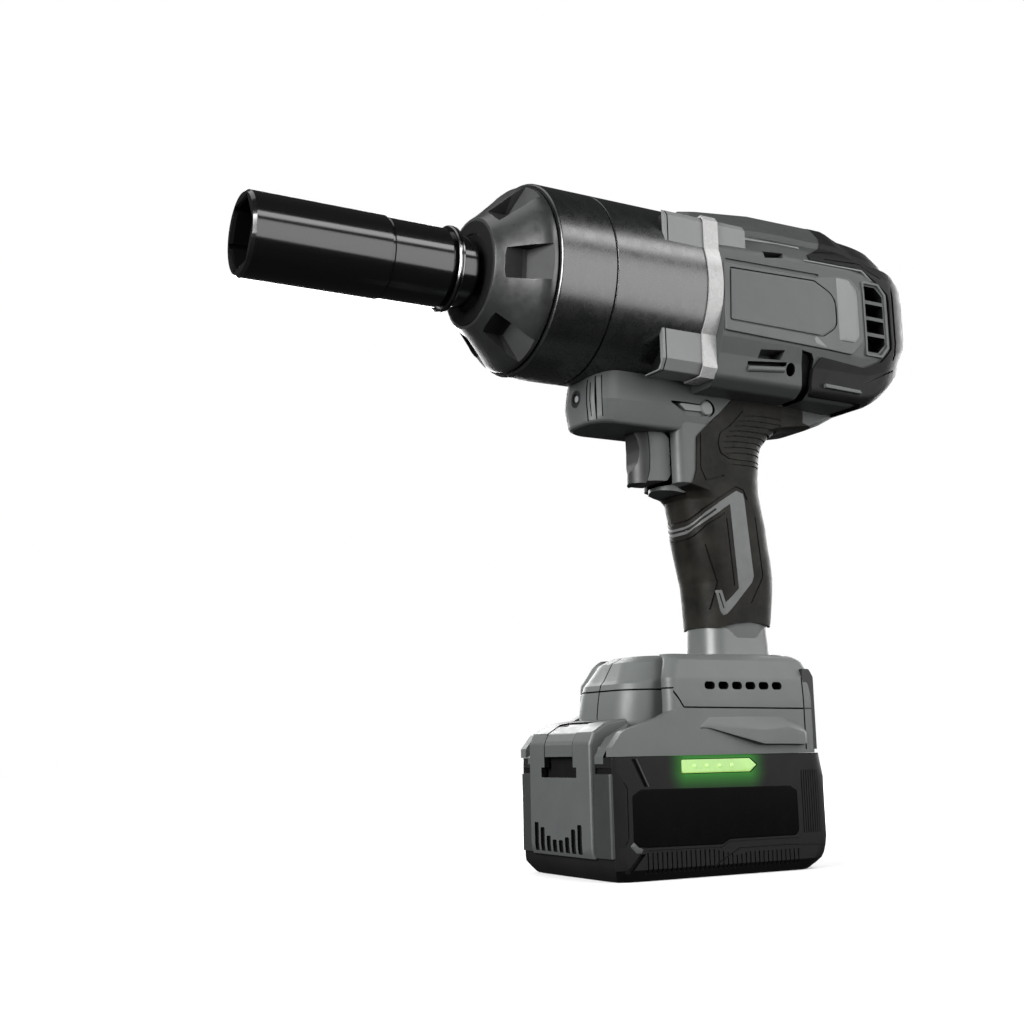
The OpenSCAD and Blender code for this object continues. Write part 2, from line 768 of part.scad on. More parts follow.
// Where the rubber lies, in side view
module grip_region() {
  polygon([[-20, 169.6], [2, 170], [7, 176], [8.6, 192], [12, 201], [29, 215.4], [71, 215.4], [73, 208],
    [72, 150], [70, 106], [0, 106], [-4, 150], [-20, 160]]);
}

module grip_skin() {
  difference() {
    intersection() {
      handle(0);
      side(-40, 40) grip_region();
    }
    handle(rubber);
    barrel(-0.2);
    bar(-0.1);
    neck(-0.1);
    chin();
  }
}

module inlay_side() {
  polygon([[26, 172], [31, 174.5], [35, 172], [39, 134], [35, 124], [24, 116], [21, 118], [20.5, 124],
    [22.5, 124], [23.5, 119.6], [32, 127], [33.4, 134], [30, 170]]);
}

module grip_half(s) {
  difference() {
    intersection() {
      grip_skin();
      block([s > 0 ? 0 : -wide, -wide, 0], [s > 0 ? wide : 0, wide, 2 * wide]);
    }
    side(s > 0 ? grip_x - 0.8 : -grip_x - 1, s > 0 ? grip_x + 1 : -grip_x + 0.8) inlay_side();
    for (p = screw_holes) side(-60, -12) translate(p) circle(r = 3.1);
  }
}

module grip_left() {
  color("#3b3833") grip_half(1);
}

module grip_right() {
  color("#3b3833") grip_half(-1);
}

module grip_inlays() {
  color("darkgray") for (s = [-1, 1])
    side(s > 0 ? grip_x - 0.78 : -grip_x - 0.2, s > 0 ? grip_x + 0.2 : -grip_x + 0.78) inlay_side();
}

// ---- trigger and controls ----

// Plan of the trigger, which is rounded at the front
module trigger_plan() {
  plan(170, 205) both_sides(concat([for (a = [-90:10:0]) [9.6 * cos(a), -6 + 11.6 * sin(a)]], [[9.6, 6]]));
}

module trigger() {
  color("gray") {
    intersection() {
      trigger_plan();
      side(-10, 10) polygon([[-12, 199.2], [-3.4, 199.2], [-3.4, 175.2], [-12.8, 175.2], [-11.6, 179.6],
        [-11.2, 187], [-11.5, 194]]);
    }
    translate([0, -4, 187]) rotate([-90, 0, 0]) cylinder(r = 2.6, h = 13.5);
  }
}

module trigger_pad() {
  color("#333333") intersection() {
    trigger_plan();
    side(-9.2, 9.2) polygon([[-17.2, 199.2], [-15.9, 195.4], [-15.3, 190], [-15.9, 184], [-17.5, 179.4],
      [-17.4, 174.8], [-13, 174.8], [-12.8, 175.2], [-11.6, 179.6], [-11.2, 187], [-11.5, 194],
      [-12, 199.2]]);
  }
}

module trigger_switch() {
  color("black") difference() {
    block([-10.5, trigger_travel, 176], [10.5, 34, 200]);
    translate([0, trigger_travel - 1, 187]) rotate([-90, 0, 0]) cylinder(r = 3, h = 16);
  }
}

module trigger_spring() {
  color("silver") translate([0, -3.2, 187]) rotate([-90, 0, 0]) coil(4, 0.5, 10, 5, 14, 6);
}

module selector() {
  half = 17 + selector_travel;
  color("lightgray") {
    translate([-half, selector_at[0], selector_at[1]]) rotate([0, 90, 0]) cylinder(r = 3, h = 2 * half);
    block([-half, -0.8, selector_at[1] - 1.7], [half, selector_at[0] - 1, selector_at[1] + 1.7]);
  }
}

module work_light() {
  color("white") translate([0, light_at[0] - 0.6, light_at[1]]) rotate([-90, 0, 0]) {
    cylinder(r = 4, h = 4);
    translate([0, 0, 3.9]) cylinder(r = 3, h = 5);
  }
}

module speed_button() {
  color("gray") translate([button_at[0], 48.2, button_at[1]]) rotate([-90, 0, 0])
    rotate_extrude() polygon([[0, 0], [5.9, 0], [5.9, 1.5], [5.3, 1.5], [5.3, 8.4], [4.2, 10], [0, 10.8]]);
}

module control_board() {
  color("darkgreen") block([-30, -4, 66], [30, 44, 68]);
  color("darkgreen") for (i = [0:2]) block([-24 + 18 * i, 0, 67.9], [-12 + 18 * i, 10, 72]);
}

module tool_terminals() {
  color("goldenrod") for (x = terminal_x) block([x - 0.5, 30, 53], [x + 0.5, 46, 63]);
  color("goldenrod") block([-20, 28, 62.8], [20, 48, 65.6]);
}

module power_leads() {
  color("firebrick") for (x = [-5, 0, 5]) rod([x, 38, 72.5], [x, 31, 175.5], 1.2);
}

module housing_screws() {
  color("silver") for (p = screw_holes) {
    side(-14, 8) translate(p) circle(r = 1.5);
    side(-15.5, -13.3) translate(p) circle(r = 2.8);
  }
}

// ---- battery ----

module battery_outline(t) {
  half = rail_x + 0.5;
  front = 2.5;
  both_sides(concat([[half - t * 0.4, -battery_y + t], [battery_x - t, -battery_y + front + t * 0.4]],
    arc(battery_x - 11, battery_y - 11, 11 - t, 0, 90, 6)));
}

module battery_form(t, top) {
  intersection() {
    plan(t, top) battery_outline(t);
    side(-60, 60) polygon([[-battery_y + t, 60], [-battery_y + t, 10], [-battery_y + 8 + t, t],
      [battery_y - 8 - t, t], [battery_y - 1 - t, 8], [battery_y - t, 14], [battery_y - t, 40],
      [battery_y - 4 - t, 60]]);
    translate([0, -battery_y, 0]) rotate([90, 0, 0]) mirror([0, 0, 1])
      linear_extrude(height = 2 * battery_y)
      both_sides([[battery_x - t, 60], [battery_x - t, 5], [battery_x - 4 - t, t]]);
  }
}

module battery_base() {
  color("#2b2b2b") difference() {
    battery_form(0, 44);
    intersection() {
      battery_form(2.2, 50);
      block([-60, -50, 0], [60, 60, 60]);
    }
    for (s = [-1, 1])
      side(s > 0 ? battery_x - 0.8 : -battery_x - 1, s > 0 ? battery_x + 1 : -battery_x + 0.8)
      label_outline(0.1);
    block([-rail_x, -battery_y - 1, 9], [rail_x, -battery_y + 2.2, 45]);
    for (s = [-1, 1]) gauge_block(s, 0.1);
    screw_bores();
  }
  color("#2b2b2b") for (s = [-1, 1]) translate([s * case_screws_at[1][0], case_screws_at[1][1], 2])
    difference() {
      cylinder(r = 3.6, h = 42);
      translate([0, 0, -1]) cylinder(r = 1.6, h = 50);
    }
}

module screw_bores() {
  for (s = [-1, 1], p = case_screws_at) translate([s * p[0], p[1], -1]) {
    cylinder(r = 1.6, h = 49.2);
    cylinder(r = 3, h = 2.6);
  }
}

module battery_lid() {
  color("#2b2b2b") difference() {
    union() {
      intersection() {
        battery_form(0, battery_h);
        block([-60, -60, 44], [60, 60, 60]);
      }
      plan(battery_h - 1, 57) both_sides([[rail_x - 3, -38], [rail_x - 3, 50]]);
      plan(56, rail_z) both_sides([[rail_x, -38], [rail_x, 50]]);
      plan(55, rail_z) both_sides([[rail_x + 3, -30], [rail_x + 3, 50]]);
    }
    block([-33, -46, 43], [33, 50, 46.5]);
    for (x = terminal_x) block([x - 1.4, 26, 51], [x + 1.4, 60, 70]);
    block([-17, -61, 43], [17, -57, 52]);
    block([-rail_x, -61, 48.1], [rail_x, -40.3, 52]);
    block([-rail_x, -61, 43], [rail_x, -57.9, 52]);
    for (s = [-1, 1]) gauge_block(s, 0.1);
    screw_bores();
  }
}

module battery_front() {
  color("gray") difference() {
    union() {
      side(-rail_x + 0.1, rail_x - 0.1) polygon([[-battery_y, 9.2], [-battery_y, 56.5],
        [-battery_y + 2.5, 61], [-battery_y + 9, 64.4], [-41, 66], [-40.4, 62], [-40.4, 48.2],
        [-58, 48.2], [-58, 9.2]]);
    }
    block([-13.4, -battery_y - 1, 45.6], [13.4, -battery_y + 3.2, 50.2]);
    block([-12.4, -battery_y - 1, 50], [12.4, -46, 70]);
    for (i = [0:7]) block([-21.6 + 5.6 * i, -battery_y - 1, 10.5],
      [-18 + 5.6 * i, -battery_y + 1.2, i < 2 || i > 5 ? 22 : 17.5]);
  }
}

module battery_latch() {
  color("gray") side(-12, 12) polygon([[-battery_y + 0.1, 50.4], [-battery_y + 0.1, 56.5],
    [-battery_y + 2.5, 60.8], [-battery_y + 8, 63.8], [-46.6, 64.6], [-46.6, 53.6], [-battery_y + 3, 53.6],
    [-battery_y + 3, 50.4]]);
}

module latch_springs() {
  color("silver") for (x = [-6, 6]) translate([x, -51, 50.05]) coil(2, 0.4, 3.5, 3, 12, 6);
}

module battery_cells() {
  color("teal") for (i = [0:4], j = [0:1])
    translate([-32.5, -39 + i * (2 * cell_r + 1), 13.2 + j * (2 * cell_r + 1)])
    rotate([0, 90, 0]) cylinder(r = cell_r, h = 65);
}

module cell_holders() {
  color("dimgray") for (s = [-1, 1]) difference() {
    block([s > 0 ? 25 : -29, -49.3, 3.6], [s > 0 ? 29 : -25, 49, 42.4]);
    for (i = [0:4], j = [0:1]) translate([-40, -39 + i * (2 * cell_r + 1), 13.2 + j * (2 * cell_r + 1)])
      rotate([0, 90, 0]) cylinder(r = cell_r + 0.1, h = 80);
  }
}

module battery_board() {
  color("darkgreen") block([-28, -40, 44.2], [28, 46, 45.6]);
}

module gauge_outline(t) {
  polygon([[-21.5 - t, 41.6 - t], [-21.5 - t, 48 + t], [13 + t, 48 + t], [17 + t, 44.8],
    [13 + t, 41.6 - t]]);
}

module gauge_block(s, t) {
  side(s > 0 ? battery_x - 0.8 : -battery_x - 1, s > 0 ? battery_x + 1 : -battery_x + 0.8) gauge_outline(t);
}

module gauge_lens() {
  color("lightgreen") for (s = [-1, 1])
    side(s > 0 ? battery_x - 0.7 : -battery_x - 0.2, s > 0 ? battery_x + 0.2 : -battery_x + 0.7)
    gauge_outline(0);
}

module label_outline(t) {
  polygon([[-46 - t, 15 - t], [-48 - t, 18], [-48 - t, 35], [-46, 37 + t], [37, 37 + t], [39 + t, 35],
    [39 + t, 18], [37, 15 - t]]);
}

module label_panels() {
  color("black") for (s = [-1, 1])
    side(s > 0 ? battery_x - 0.7 : -battery_x - 0.2, s > 0 ? battery_x + 0.2 : -battery_x + 0.7)
    label_outline(0);
}

module battery_screws() {
  color("silver") for (s = [-1, 1], p = case_screws_at) translate([s * p[0], p[1], 0.2]) {
    cylinder(r = 1.5, h = 47);
    cylinder(r = 2.8, h = 1.3);
  }
}

socket();
socket_ring();
friction_ring();
anvil();
thrust_washer();
anvil_bush();
nose_seal();
nose_cover();
hammer_case();
hammer();
hammer_spring();
cam_balls();
cam_carrier();
planet_pins();
planet_gear_1();
planet_gear_2();
planet_gear_3();
ring_gear();
gearbox_plate();
carrier_bearing();
rotor_shaft();
rotor_core();
rotor_magnets();
cooling_fan();
motor_bearings();
stator_core();
stator_windings();
sensor_board();
housing_left();
housing_right();
rear_bumper();
clamp_pads();
trim_band();
badge_plates();
grip_left();
grip_right();
grip_inlays();
trigger();
trigger_pad();
trigger_switch();
trigger_spring();
selector();
work_light();
control_board();
tool_terminals();
speed_button();
power_leads();
housing_screws();
battery_base();
battery_lid();
battery_front();
battery_latch();
latch_springs();
battery_cells();
cell_holders();
battery_board();
gauge_lens();
label_panels();
battery_screws();
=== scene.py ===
import json
import math
import bpy
import bmesh
from mathutils import Matrix, Vector


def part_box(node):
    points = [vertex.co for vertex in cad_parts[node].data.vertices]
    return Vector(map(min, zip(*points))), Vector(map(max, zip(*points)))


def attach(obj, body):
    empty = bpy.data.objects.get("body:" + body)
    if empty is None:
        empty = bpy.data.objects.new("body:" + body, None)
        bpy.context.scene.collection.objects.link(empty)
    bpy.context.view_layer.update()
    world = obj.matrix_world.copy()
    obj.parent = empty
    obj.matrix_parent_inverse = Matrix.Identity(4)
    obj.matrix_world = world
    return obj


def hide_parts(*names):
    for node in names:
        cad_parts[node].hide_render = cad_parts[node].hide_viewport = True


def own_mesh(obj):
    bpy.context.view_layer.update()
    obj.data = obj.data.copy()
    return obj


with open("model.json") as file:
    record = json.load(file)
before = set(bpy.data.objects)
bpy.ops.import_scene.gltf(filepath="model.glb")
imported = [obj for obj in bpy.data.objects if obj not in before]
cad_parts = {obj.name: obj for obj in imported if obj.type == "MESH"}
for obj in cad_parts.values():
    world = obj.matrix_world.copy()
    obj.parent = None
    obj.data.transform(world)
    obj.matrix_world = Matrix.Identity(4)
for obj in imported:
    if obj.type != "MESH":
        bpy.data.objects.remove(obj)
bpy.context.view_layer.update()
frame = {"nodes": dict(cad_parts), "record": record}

MM = 0.001
AX = sum(corner.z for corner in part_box("socket")) / 2 / MM   # height of the tool's axis
scene = bpy.context.scene
scene.view_settings.view_transform = "Standard"


# ---------------------------------------------------------------- camera, lights, floor

CAMERA_AT = (498.08, -357.34, 53.18)
AZIMUTH, ELEVATION, ROLL = math.radians(60.92), math.radians(-10.51), math.radians(-1.1)
FOCAL, SENSOR = 46.4, 36


def make_camera():
    data = bpy.data.cameras.new("camera")
    data.lens, data.sensor_width = FOCAL, SENSOR
    data.clip_start, data.clip_end = 0.02, 20
    cam = bpy.data.objects.new("camera", data)
    back = Vector((math.sin(AZIMUTH) * math.cos(ELEVATION), -math.cos(AZIMUTH) * math.cos(ELEVATION),
        math.sin(ELEVATION)))
    right = (-back).cross(Vector((0, 0, 1))).normalized()
    up = right.cross(-back)
    r = math.cos(ROLL) * right + math.sin(ROLL) * up
    u = -math.sin(ROLL) * right + math.cos(ROLL) * up
    cam.matrix_world = (Matrix.Translation(Vector(CAMERA_AT) * MM) @ Matrix((r, u, back)).transposed().to_4x4())
    scene.collection.objects.link(cam)
    scene.camera = cam


def area(name, at, aim, size, power):
    data = bpy.data.lights.new(name, "AREA")
    data.shape, data.size, data.size_y, data.energy = "RECTANGLE", *size, power
    o = bpy.data.objects.new(name, data)
    o.location = at
    o.rotation_euler = (Vector(aim) - Vector(at)).to_track_quat("-Z", "Y").to_euler()
    scene.collection.objects.link(o)


def make_world():
    """White to the camera, a faint cool fill for everything else."""
    world = bpy.data.worlds.new("studio")
    world.use_nodes = True
    t = world.node_tree
    fill = t.nodes["Background"]
    fill.inputs[0].default_value, fill.inputs[1].default_value = (0.96, 0.98, 1, 1), 0.045
    pale = t.nodes.new("ShaderNodeBackground")
    pale.inputs[0].default_value, pale.inputs[1].default_value = (1, 1, 1, 1), 1
    ray = t.nodes.new("ShaderNodeLightPath")
    pick = t.nodes.new("ShaderNodeMixShader")
    t.links.new(ray.outputs["Is Camera Ray"], pick.inputs[0])
    t.links.new(fill.outputs[0], pick.inputs[1])
    t.links.new(pale.outputs[0], pick.inputs[2])
    t.links.new(pick.outputs[0], t.nodes["World Output"].inputs["Surface"])
    scene.world = world


make_camera()
TOOL_MID, MOTOR_MID = (0, -0.05, 0.2), (0, 0, 0.27)
area("side_box", (0.50, 0.26, 0.27), MOTOR_MID, (1, 0.52), 6.4)
area("strip_box", (0.50, 0.26, 0.76), MOTOR_MID, (1, 0.18), 3.6)
area("front_box", (0.25, -1.15, 0.50), TOOL_MID, (0.6, 0.7), 38)
area("top_box", (-0.4, -0.5, 1.3), TOOL_MID, (0.8, 0.8), 3)
area("left_box", (-1.1, 0.15, 0.5), TOOL_MID, (0.7, 0.7), 12)
area("back_box", (-0.35, 1.15, 0.5), TOOL_MID, (0.9, 0.7), 16)
make_world()


# ---------------------------------------------------------------- materials

def tree(name):
    m = bpy.data.materials.new(name)
    m.use_nodes = True
    return m, m.node_tree, m.node_tree.nodes["Principled BSDF"]


def put(node, **values):
    """Sets sockets by name, with _ for a space."""
    for name, v in values.items():
        node.inputs[name.replace("_", " ")].default_value = v
    return node


def add(t, kind, **values):
    return put(t.nodes.new("ShaderNode" + kind), **values)


def noise(t, scale, detail=3, rough=0.5, stretch=(1, 1, 1)):
    mp = add(t, "Mapping", Scale=stretch)
    t.links.new(add(t, "TexCoord").outputs["Object"], mp.inputs["Vector"])
    n = add(t, "TexNoise", Scale=scale, Detail=detail, Roughness=rough)
    t.links.new(mp.outputs["Vector"], n.inputs["Vector"])
    return n.outputs["Fac"]


def spread(t, source, low, high, lo=0.3, hi=0.7):
    r = add(t, "MapRange", From_Min=lo, From_Max=hi, To_Min=low, To_Max=high)
    t.links.new(source, r.inputs["Value"])
    return r.outputs["Result"]


def ramp(t, source, c0, c1, p0=0.3, p1=0.7):
    r = add(t, "ValToRGB")
    for stop, p, c in zip(r.color_ramp.elements, (p0, p1), (c0, c1)):
        stop.position, stop.color = p, (*c, 1)
    t.links.new(source, r.inputs["Fac"])
    return r.outputs["Color"]


def times(color, k):
    return [v * k for v in color]


def bump(t, bsdf, height, strength, distance):
    b = add(t, "Bump", Strength=strength, Distance=distance)
    t.links.new(height, b.inputs["Height"])
    t.links.new(b.outputs["Normal"], bsdf.inputs["Normal"])


def surface(name, color, vary=0.08, rough=(0.35, 0.5), metal=0, grain=900, depth=3e-5, strength=0.3, patch=35,
        stretch=(1, 1, 1), coat=0, tint=(1, 1, 1), specular=0.5, emission=None):
    """Mottled colour from a broad noise, uneven gloss from another, and a fine grain as bump."""
    m, t, b = tree(name)
    broad = noise(t, patch, 4, 0.6, stretch)
    bright = [v * (1 + vary) * k for v, k in zip(color, tint)]
    t.links.new(ramp(t, broad, times(color, 1 - vary), bright), b.inputs["Base Color"])
    t.links.new(spread(t, noise(t, patch * 5, 5, 0.65, stretch), *rough), b.inputs["Roughness"])
    bump(t, b, noise(t, grain, 2, 0.5, stretch), strength, depth)
    put(b, Metallic=metal, Coat_Weight=coat, Specular_IOR_Level=specular)
    if emission:
        put(b, Emission_Strength=emission[1])
        t.links.new(ramp(t, broad, times(emission[0], 0.85), emission[0]), b.inputs["Emission Color"])
    return m


def plastic(name, color, vary, rough, grain=1500, depth=5e-5, specular=0.25, **more):
    return surface(name, color, vary, rough, grain=grain, depth=depth, specular=specular, **more)


def metal(name, color, rough, **more):
    return surface(name, color, rough=rough, metal=1, **more)


def steel(name, color, rough, wear):
    """Dark steel with fine marks round the axis and rubbed edges."""
    m, t, b = tree(name)
    base = ramp(t, noise(t, 60, 5, 0.6), times(color, 0.82), times(color, 1.15))
    edges = add(t, "NewGeometry").outputs["Pointiness"]
    mix = add(t, "MixRGB", Color2=(wear, wear, wear, 1))
    t.links.new(ramp(t, edges, (0, 0, 0), (1, 1, 1), 0.52, 0.6), mix.inputs["Fac"])
    t.links.new(base, mix.inputs["Color1"])
    t.links.new(mix.outputs["Color"], b.inputs["Base Color"])
    lines = noise(t, 30, 6, 0.7, (1, 60, 60))
    t.links.new(spread(t, lines, *rough), b.inputs["Roughness"])
    bump(t, b, lines, 0.15, 4e-5)
    put(b, Metallic=1)
    return m


GREY, LIGHT, BLACK = "grey_plastic", "light_plastic", "black_plastic"
M = {
    "socket_steel": surface("phosphated_steel", (0.003, 0.003, 0.0032), 0.3, (0.10, 0.18), grain=260,
                            depth=2e-5, strength=0.2, patch=60, stretch=(1, 0.05, 1), specular=0.55),
    "bright_steel": steel("bright_steel", (0.07, 0.07, 0.072), (0.12, 0.24), 0.16),
    "hard_steel": steel("hard_steel", (0.3, 0.3, 0.31), (0.25, 0.42), 0.5),
    "dark_steel": steel("dark_steel", (0.03, 0.03, 0.031), (0.3, 0.5), 0.3),
    "spring_steel": steel("spring_steel", (0.4, 0.4, 0.41), (0.22, 0.38), 0.6),
    "bronze": metal("bronze", (0.5, 0.3, 0.12), (0.3, 0.45)),
    "seal_rubber": surface("seal_rubber", (0.008, 0.008, 0.008), rough=(0.6, 0.75), specular=0.2),
    "nose_metal": surface("nose_paint", (0.014, 0.0145, 0.0145), 0.3, (0.26, 0.38), grain=500,
                          depth=4e-5, strength=0.25, specular=0.7),
    "case_metal": surface("case_paint", (0.0042, 0.0046, 0.0046), 0.3, (0.23, 0.32), grain=420,
                          strength=0.15, specular=0.85),
    "cast_light": metal("cast_alloy", (0.6, 0.6, 0.61), (0.4, 0.55)),
    "grey_plastic": plastic("grey_shell", (0.052, 0.0557, 0.0547), 0.07, (0.40, 0.52)),
    "light_plastic": plastic("light_shell", (0.112, 0.116, 0.115), 0.05, (0.38, 0.5), depth=4e-5,
                             specular=0.3),
    "white_plastic": surface("white_trim", (0.24, 0.24, 0.237), 0.02, (0.22, 0.32), depth=2e-5),
    "black_plastic": plastic("black_shell", (0.009, 0.009, 0.0095), 0.15, (0.34, 0.46), specular=0.2),
    "black_soft": plastic("trigger_rubber", (0.021, 0.0215, 0.0215), 0.1, (0.36, 0.5), 1400),
    "shell_black": plastic("battery_shell", (0.0068, 0.0066, 0.0066), 0.15, (0.38, 0.5), 1600, 6e-5,
                           0.09),
    "gloss_black": surface("gloss_black", (0.0018, 0.0018, 0.002), 0.2, (0.2, 0.3), grain=300,
                           depth=1e-5, strength=0.1, specular=0.02),
    "bumper_rubber": plastic("bumper_rubber", (0.0062, 0.0062, 0.0064), 0.15, (0.42, 0.55), 1300, 7e-5,
                             0.1, strength=0.4),
    "grip_rubber": plastic("grip_rubber", (0.0084, 0.0081, 0.0071), 0.55, (0.42, 0.6), 1100, 1.2e-4, 0.07,
                           strength=0.5, patch=70, tint=(1, 0.98, 0.93)),
    "inlay_grey": plastic("inlay_grey", (0.068, 0.071, 0.070), 0.12, (0.4, 0.5), 1200, 3e-5, patch=120),
    # the lens's faint glow is a painted highlight for the bright dot on the work light
    "lamp_lens": surface("lamp_lens", (0.22, 0.23, 0.24), 0.03, (0.05, 0.12), coat=1,
                         emission=((0.9, 0.95, 1), 0.04)),
    "gauge_green": surface("gauge_glow", (0.12, 0.26, 0.06), 0.1, (0.1, 0.2), patch=90,
                           emission=((0.42, 0.62, 0.17), 0.5)),
    "led": surface("gauge_led", (0.2, 0.34, 0.1), 0.03, (0.1, 0.2), emission=((0.42, 0.68, 0.20), 0.65)),
    "board_green": surface("circuit_board", (0.02, 0.12, 0.04), 0.2, (0.3, 0.5), patch=200),
    "copper": metal("copper_wire", (0.7, 0.28, 0.12), (0.25, 0.4), stretch=(1, 20, 1)),
    "contact_brass": metal("contact_brass", (0.7, 0.5, 0.2), (0.2, 0.35)),
    "lamination": metal("lamination_steel", (0.2, 0.21, 0.22), (0.4, 0.6), stretch=(1, 40, 1)),
    "magnet": metal("magnet", (0.3, 0.31, 0.32), (0.3, 0.5)),
    "cell_wrap": surface("cell_wrap", (0.03, 0.2, 0.26), rough=(0.2, 0.35)),
    "lead_sleeve": surface("lead_sleeve", (0.35, 0.02, 0.015)),
    # near-black painted shade, put on the faces of grooves, slots, gaps and recesses and on sheets set where
    # there is only shade
    "painted_shade": surface("painted_shade", (0.002, 0.002, 0.002), 0.3, (0.6, 0.8), specular=0.1),
    "foot_grey": plastic("foot_shell", (0.068, 0.0728, 0.0713), 0.06, (0.40, 0.52), specular=0.3),
    "neck_grey": plastic("neck_shell", (0.065, 0.070, 0.068), 0.06, (0.3, 0.42), 1300, 4e-5, 0.4),
    "front_grey": plastic("front_panel", (0.050, 0.0536, 0.0527), 0.06, (0.36, 0.48), specular=0.3),
    "housing_grey": plastic("housing_shell", (0.036, 0.0385, 0.038), 0.08, (0.40, 0.52)),
    "nose_ramp": surface("nose_ramp", (0.022, 0.0225, 0.0225), 0.2, (0.5, 0.62), grain=500, specular=0.2),
    # darker copy of the panel grey: painted shade on the panel's side return, and a painted highlight line on
    # the black battery's label bevel
    "shade_and_highlight_grey": plastic("panel_return", (0.020, 0.0212, 0.0208), 0.06, (0.36, 0.48)),
}


def painted_gauge_glow(m):
    """Painted glow: green emission on the plastic round the charge gauge, standing in for the gauge's light on
    it, fading over 11.5 mm.
    """
    t = m.node_tree
    v = add(t, "TexCoord").outputs["Object"]
    # distance in y and z from the gauge's box, whose middle and half size these are
    for how, by in (("SUBTRACT", (0, -0.004, 0.0458)), ("ABSOLUTE", None), ("SUBTRACT", (0, 0.0165, 0.0022)),
            ("MAXIMUM", (0, 0, 0)), ("MULTIPLY", (0, 1, 1)), ("LENGTH", None)):
        n = add(t, "VectorMath")
        n.operation = how
        t.links.new(v, n.inputs[0])
        if by:
            n.inputs[1].default_value = by
        v = n.outputs["Value" if how == "LENGTH" else "Vector"]
    v = spread(t, v, 1, 0, 0, 0.0115)
    for how, by in (("POWER", 2.2), ("MULTIPLY", 0.6)):
        n = add(t, "Math")
        n.operation = how
        n.inputs[1].default_value = by
        t.links.new(v, n.inputs[0])
        v = n.outputs["Value"]
    b = put(t.nodes["Principled BSDF"], Emission_Color=(0.05, 0.42, 0.04, 1))
    t.links.new(v, b.inputs["Emission Strength"])


# paints the gauge's green glow onto the battery shell
painted_gauge_glow(M["shell_black"])
for part in frame["record"]["subparts"]:
    node = frame["nodes"].get(part["node"])
    if node:
        node.data.materials.clear()
        node.data.materials.append(M[part["material_slot"]])


def make_floor():
    """Pale glowing paper with a painted shadow round the tool: it grows lighter away from the tool, and throws
    no light on it.
    """
    m, t, b = tree("floor_paper")
    reach = add(t, "VectorMath")
    reach.operation = "LENGTH"
    t.links.new(add(t, "TexCoord").outputs["Object"], reach.inputs[0])
    # painted shadow: the glow runs from dark grey at 0.08 m from the middle to white at 0.5 m
    painted_shadow_fade = spread(t, reach.outputs["Value"], 0, 1, 0.08, 0.5)
    t.links.new(ramp(t, painted_shadow_fade, (0.20, 0.20, 0.20), (1, 1, 1), 0, 1), b.inputs["Emission Color"])
    t.links.new(ramp(t, noise(t, 4), (0.52, 0.52, 0.52), (0.56, 0.56, 0.56)), b.inputs["Base Color"])
    put(b, Emission_Strength=1.12, Roughness=0.7, Specular_IOR_Level=0)
    me = bpy.data.meshes.new("floor")
    me.from_pydata([(-4, -4, 0), (4, -4, 0), (4, 4, 0), (-4, 4, 0)], [], [(0, 1, 2, 3)])
    me.materials.append(m)
    o = bpy.data.objects.new("floor", me)
    scene.collection.objects.link(o)
    o.visible_diffuse = o.visible_glossy = False


make_floor()


# ---------------------------------------------------------------- mesh helpers (all lengths in mm)

def table(pairs, v):
    """The value at v on the line through pairs, held at its ends."""
    if v <= pairs[0][0]:
        return pairs[0][1]
    for (a, p), (b, q) in zip(pairs, pairs[1:]):
        if v <= b:
            return p + (q - p) * (v - a) / (b - a)
    return pairs[-1][1]


def arc(cx, cy, r, a0, a1, n=8):
    return [(cx + r * math.cos(math.radians(a0 + (a1 - a0) * i / n)), cy + r * math.sin(math.radians(a0
        + (a1 - a0) * i / n))) for i in range(n + 1)]


def circle(cx, cy, r, n):
    return arc(cx, cy, r, 0, 360, n)[:-1]


def fillet(points, r, n=4):
    """The outline with each corner rounded; r is one radius or one per corner."""
    out = []
    for i, p in enumerate(points):
        ri = r[i] if isinstance(r, (list, tuple)) else r
        a, b, c = Vector(points[i - 1]), Vector(p), Vector(points[(i + 1) % len(points)])
        u, v = a - b, c - b
        half = u.angle(v) / 2 if ri > 0 and min(u.length, v.length) >= 1e-6 else 0
        if half < 0.01 or half > math.radians(89.2):
            out.append(tuple(b))
            continue
        t = min(ri / math.tan(half), u.length * 0.48, v.length * 0.48)
        rr = t * math.tan(half)
        u.normalize(), v.normalize()
        centre = b + (u + v).normalized() * (rr / math.sin(half))
        p0, p1 = b + u * t - centre, b + v * t - centre
        a0, a1 = math.atan2(p0.y, p0.x), math.atan2(p1.y, p1.x)
        d = (a1 - a0 + math.pi) % (2 * math.pi) - math.pi
        out += [(centre.x + rr * math.cos(a0 + d * k / n), centre.y + rr * math.sin(a0 + d * k / n))
            for k in range(n + 1)]
    return out


def scaled(points, cx, cy, kx, ky=None):
    """The outline scaled about a point."""
    return [(cx + (x - cx) * kx, cy + (y - cy) * (kx if ky is None else ky)) for x, y in points]


def mirror(points):
    """A closed outline from its +x half, which begins and ends on the middle line."""
    return list(points) + [(-x, y) for x, y in reversed(points) if abs(x) > 1e-6]


def level(half, z):
    """A level ring from the +x half of its outline."""
    return [(x, y, z) for x, y in mirror(half)]


def raised(points):
    """Points given from the tool's axis, at their real height."""
    return [(y, AX + w) for y, w in points]


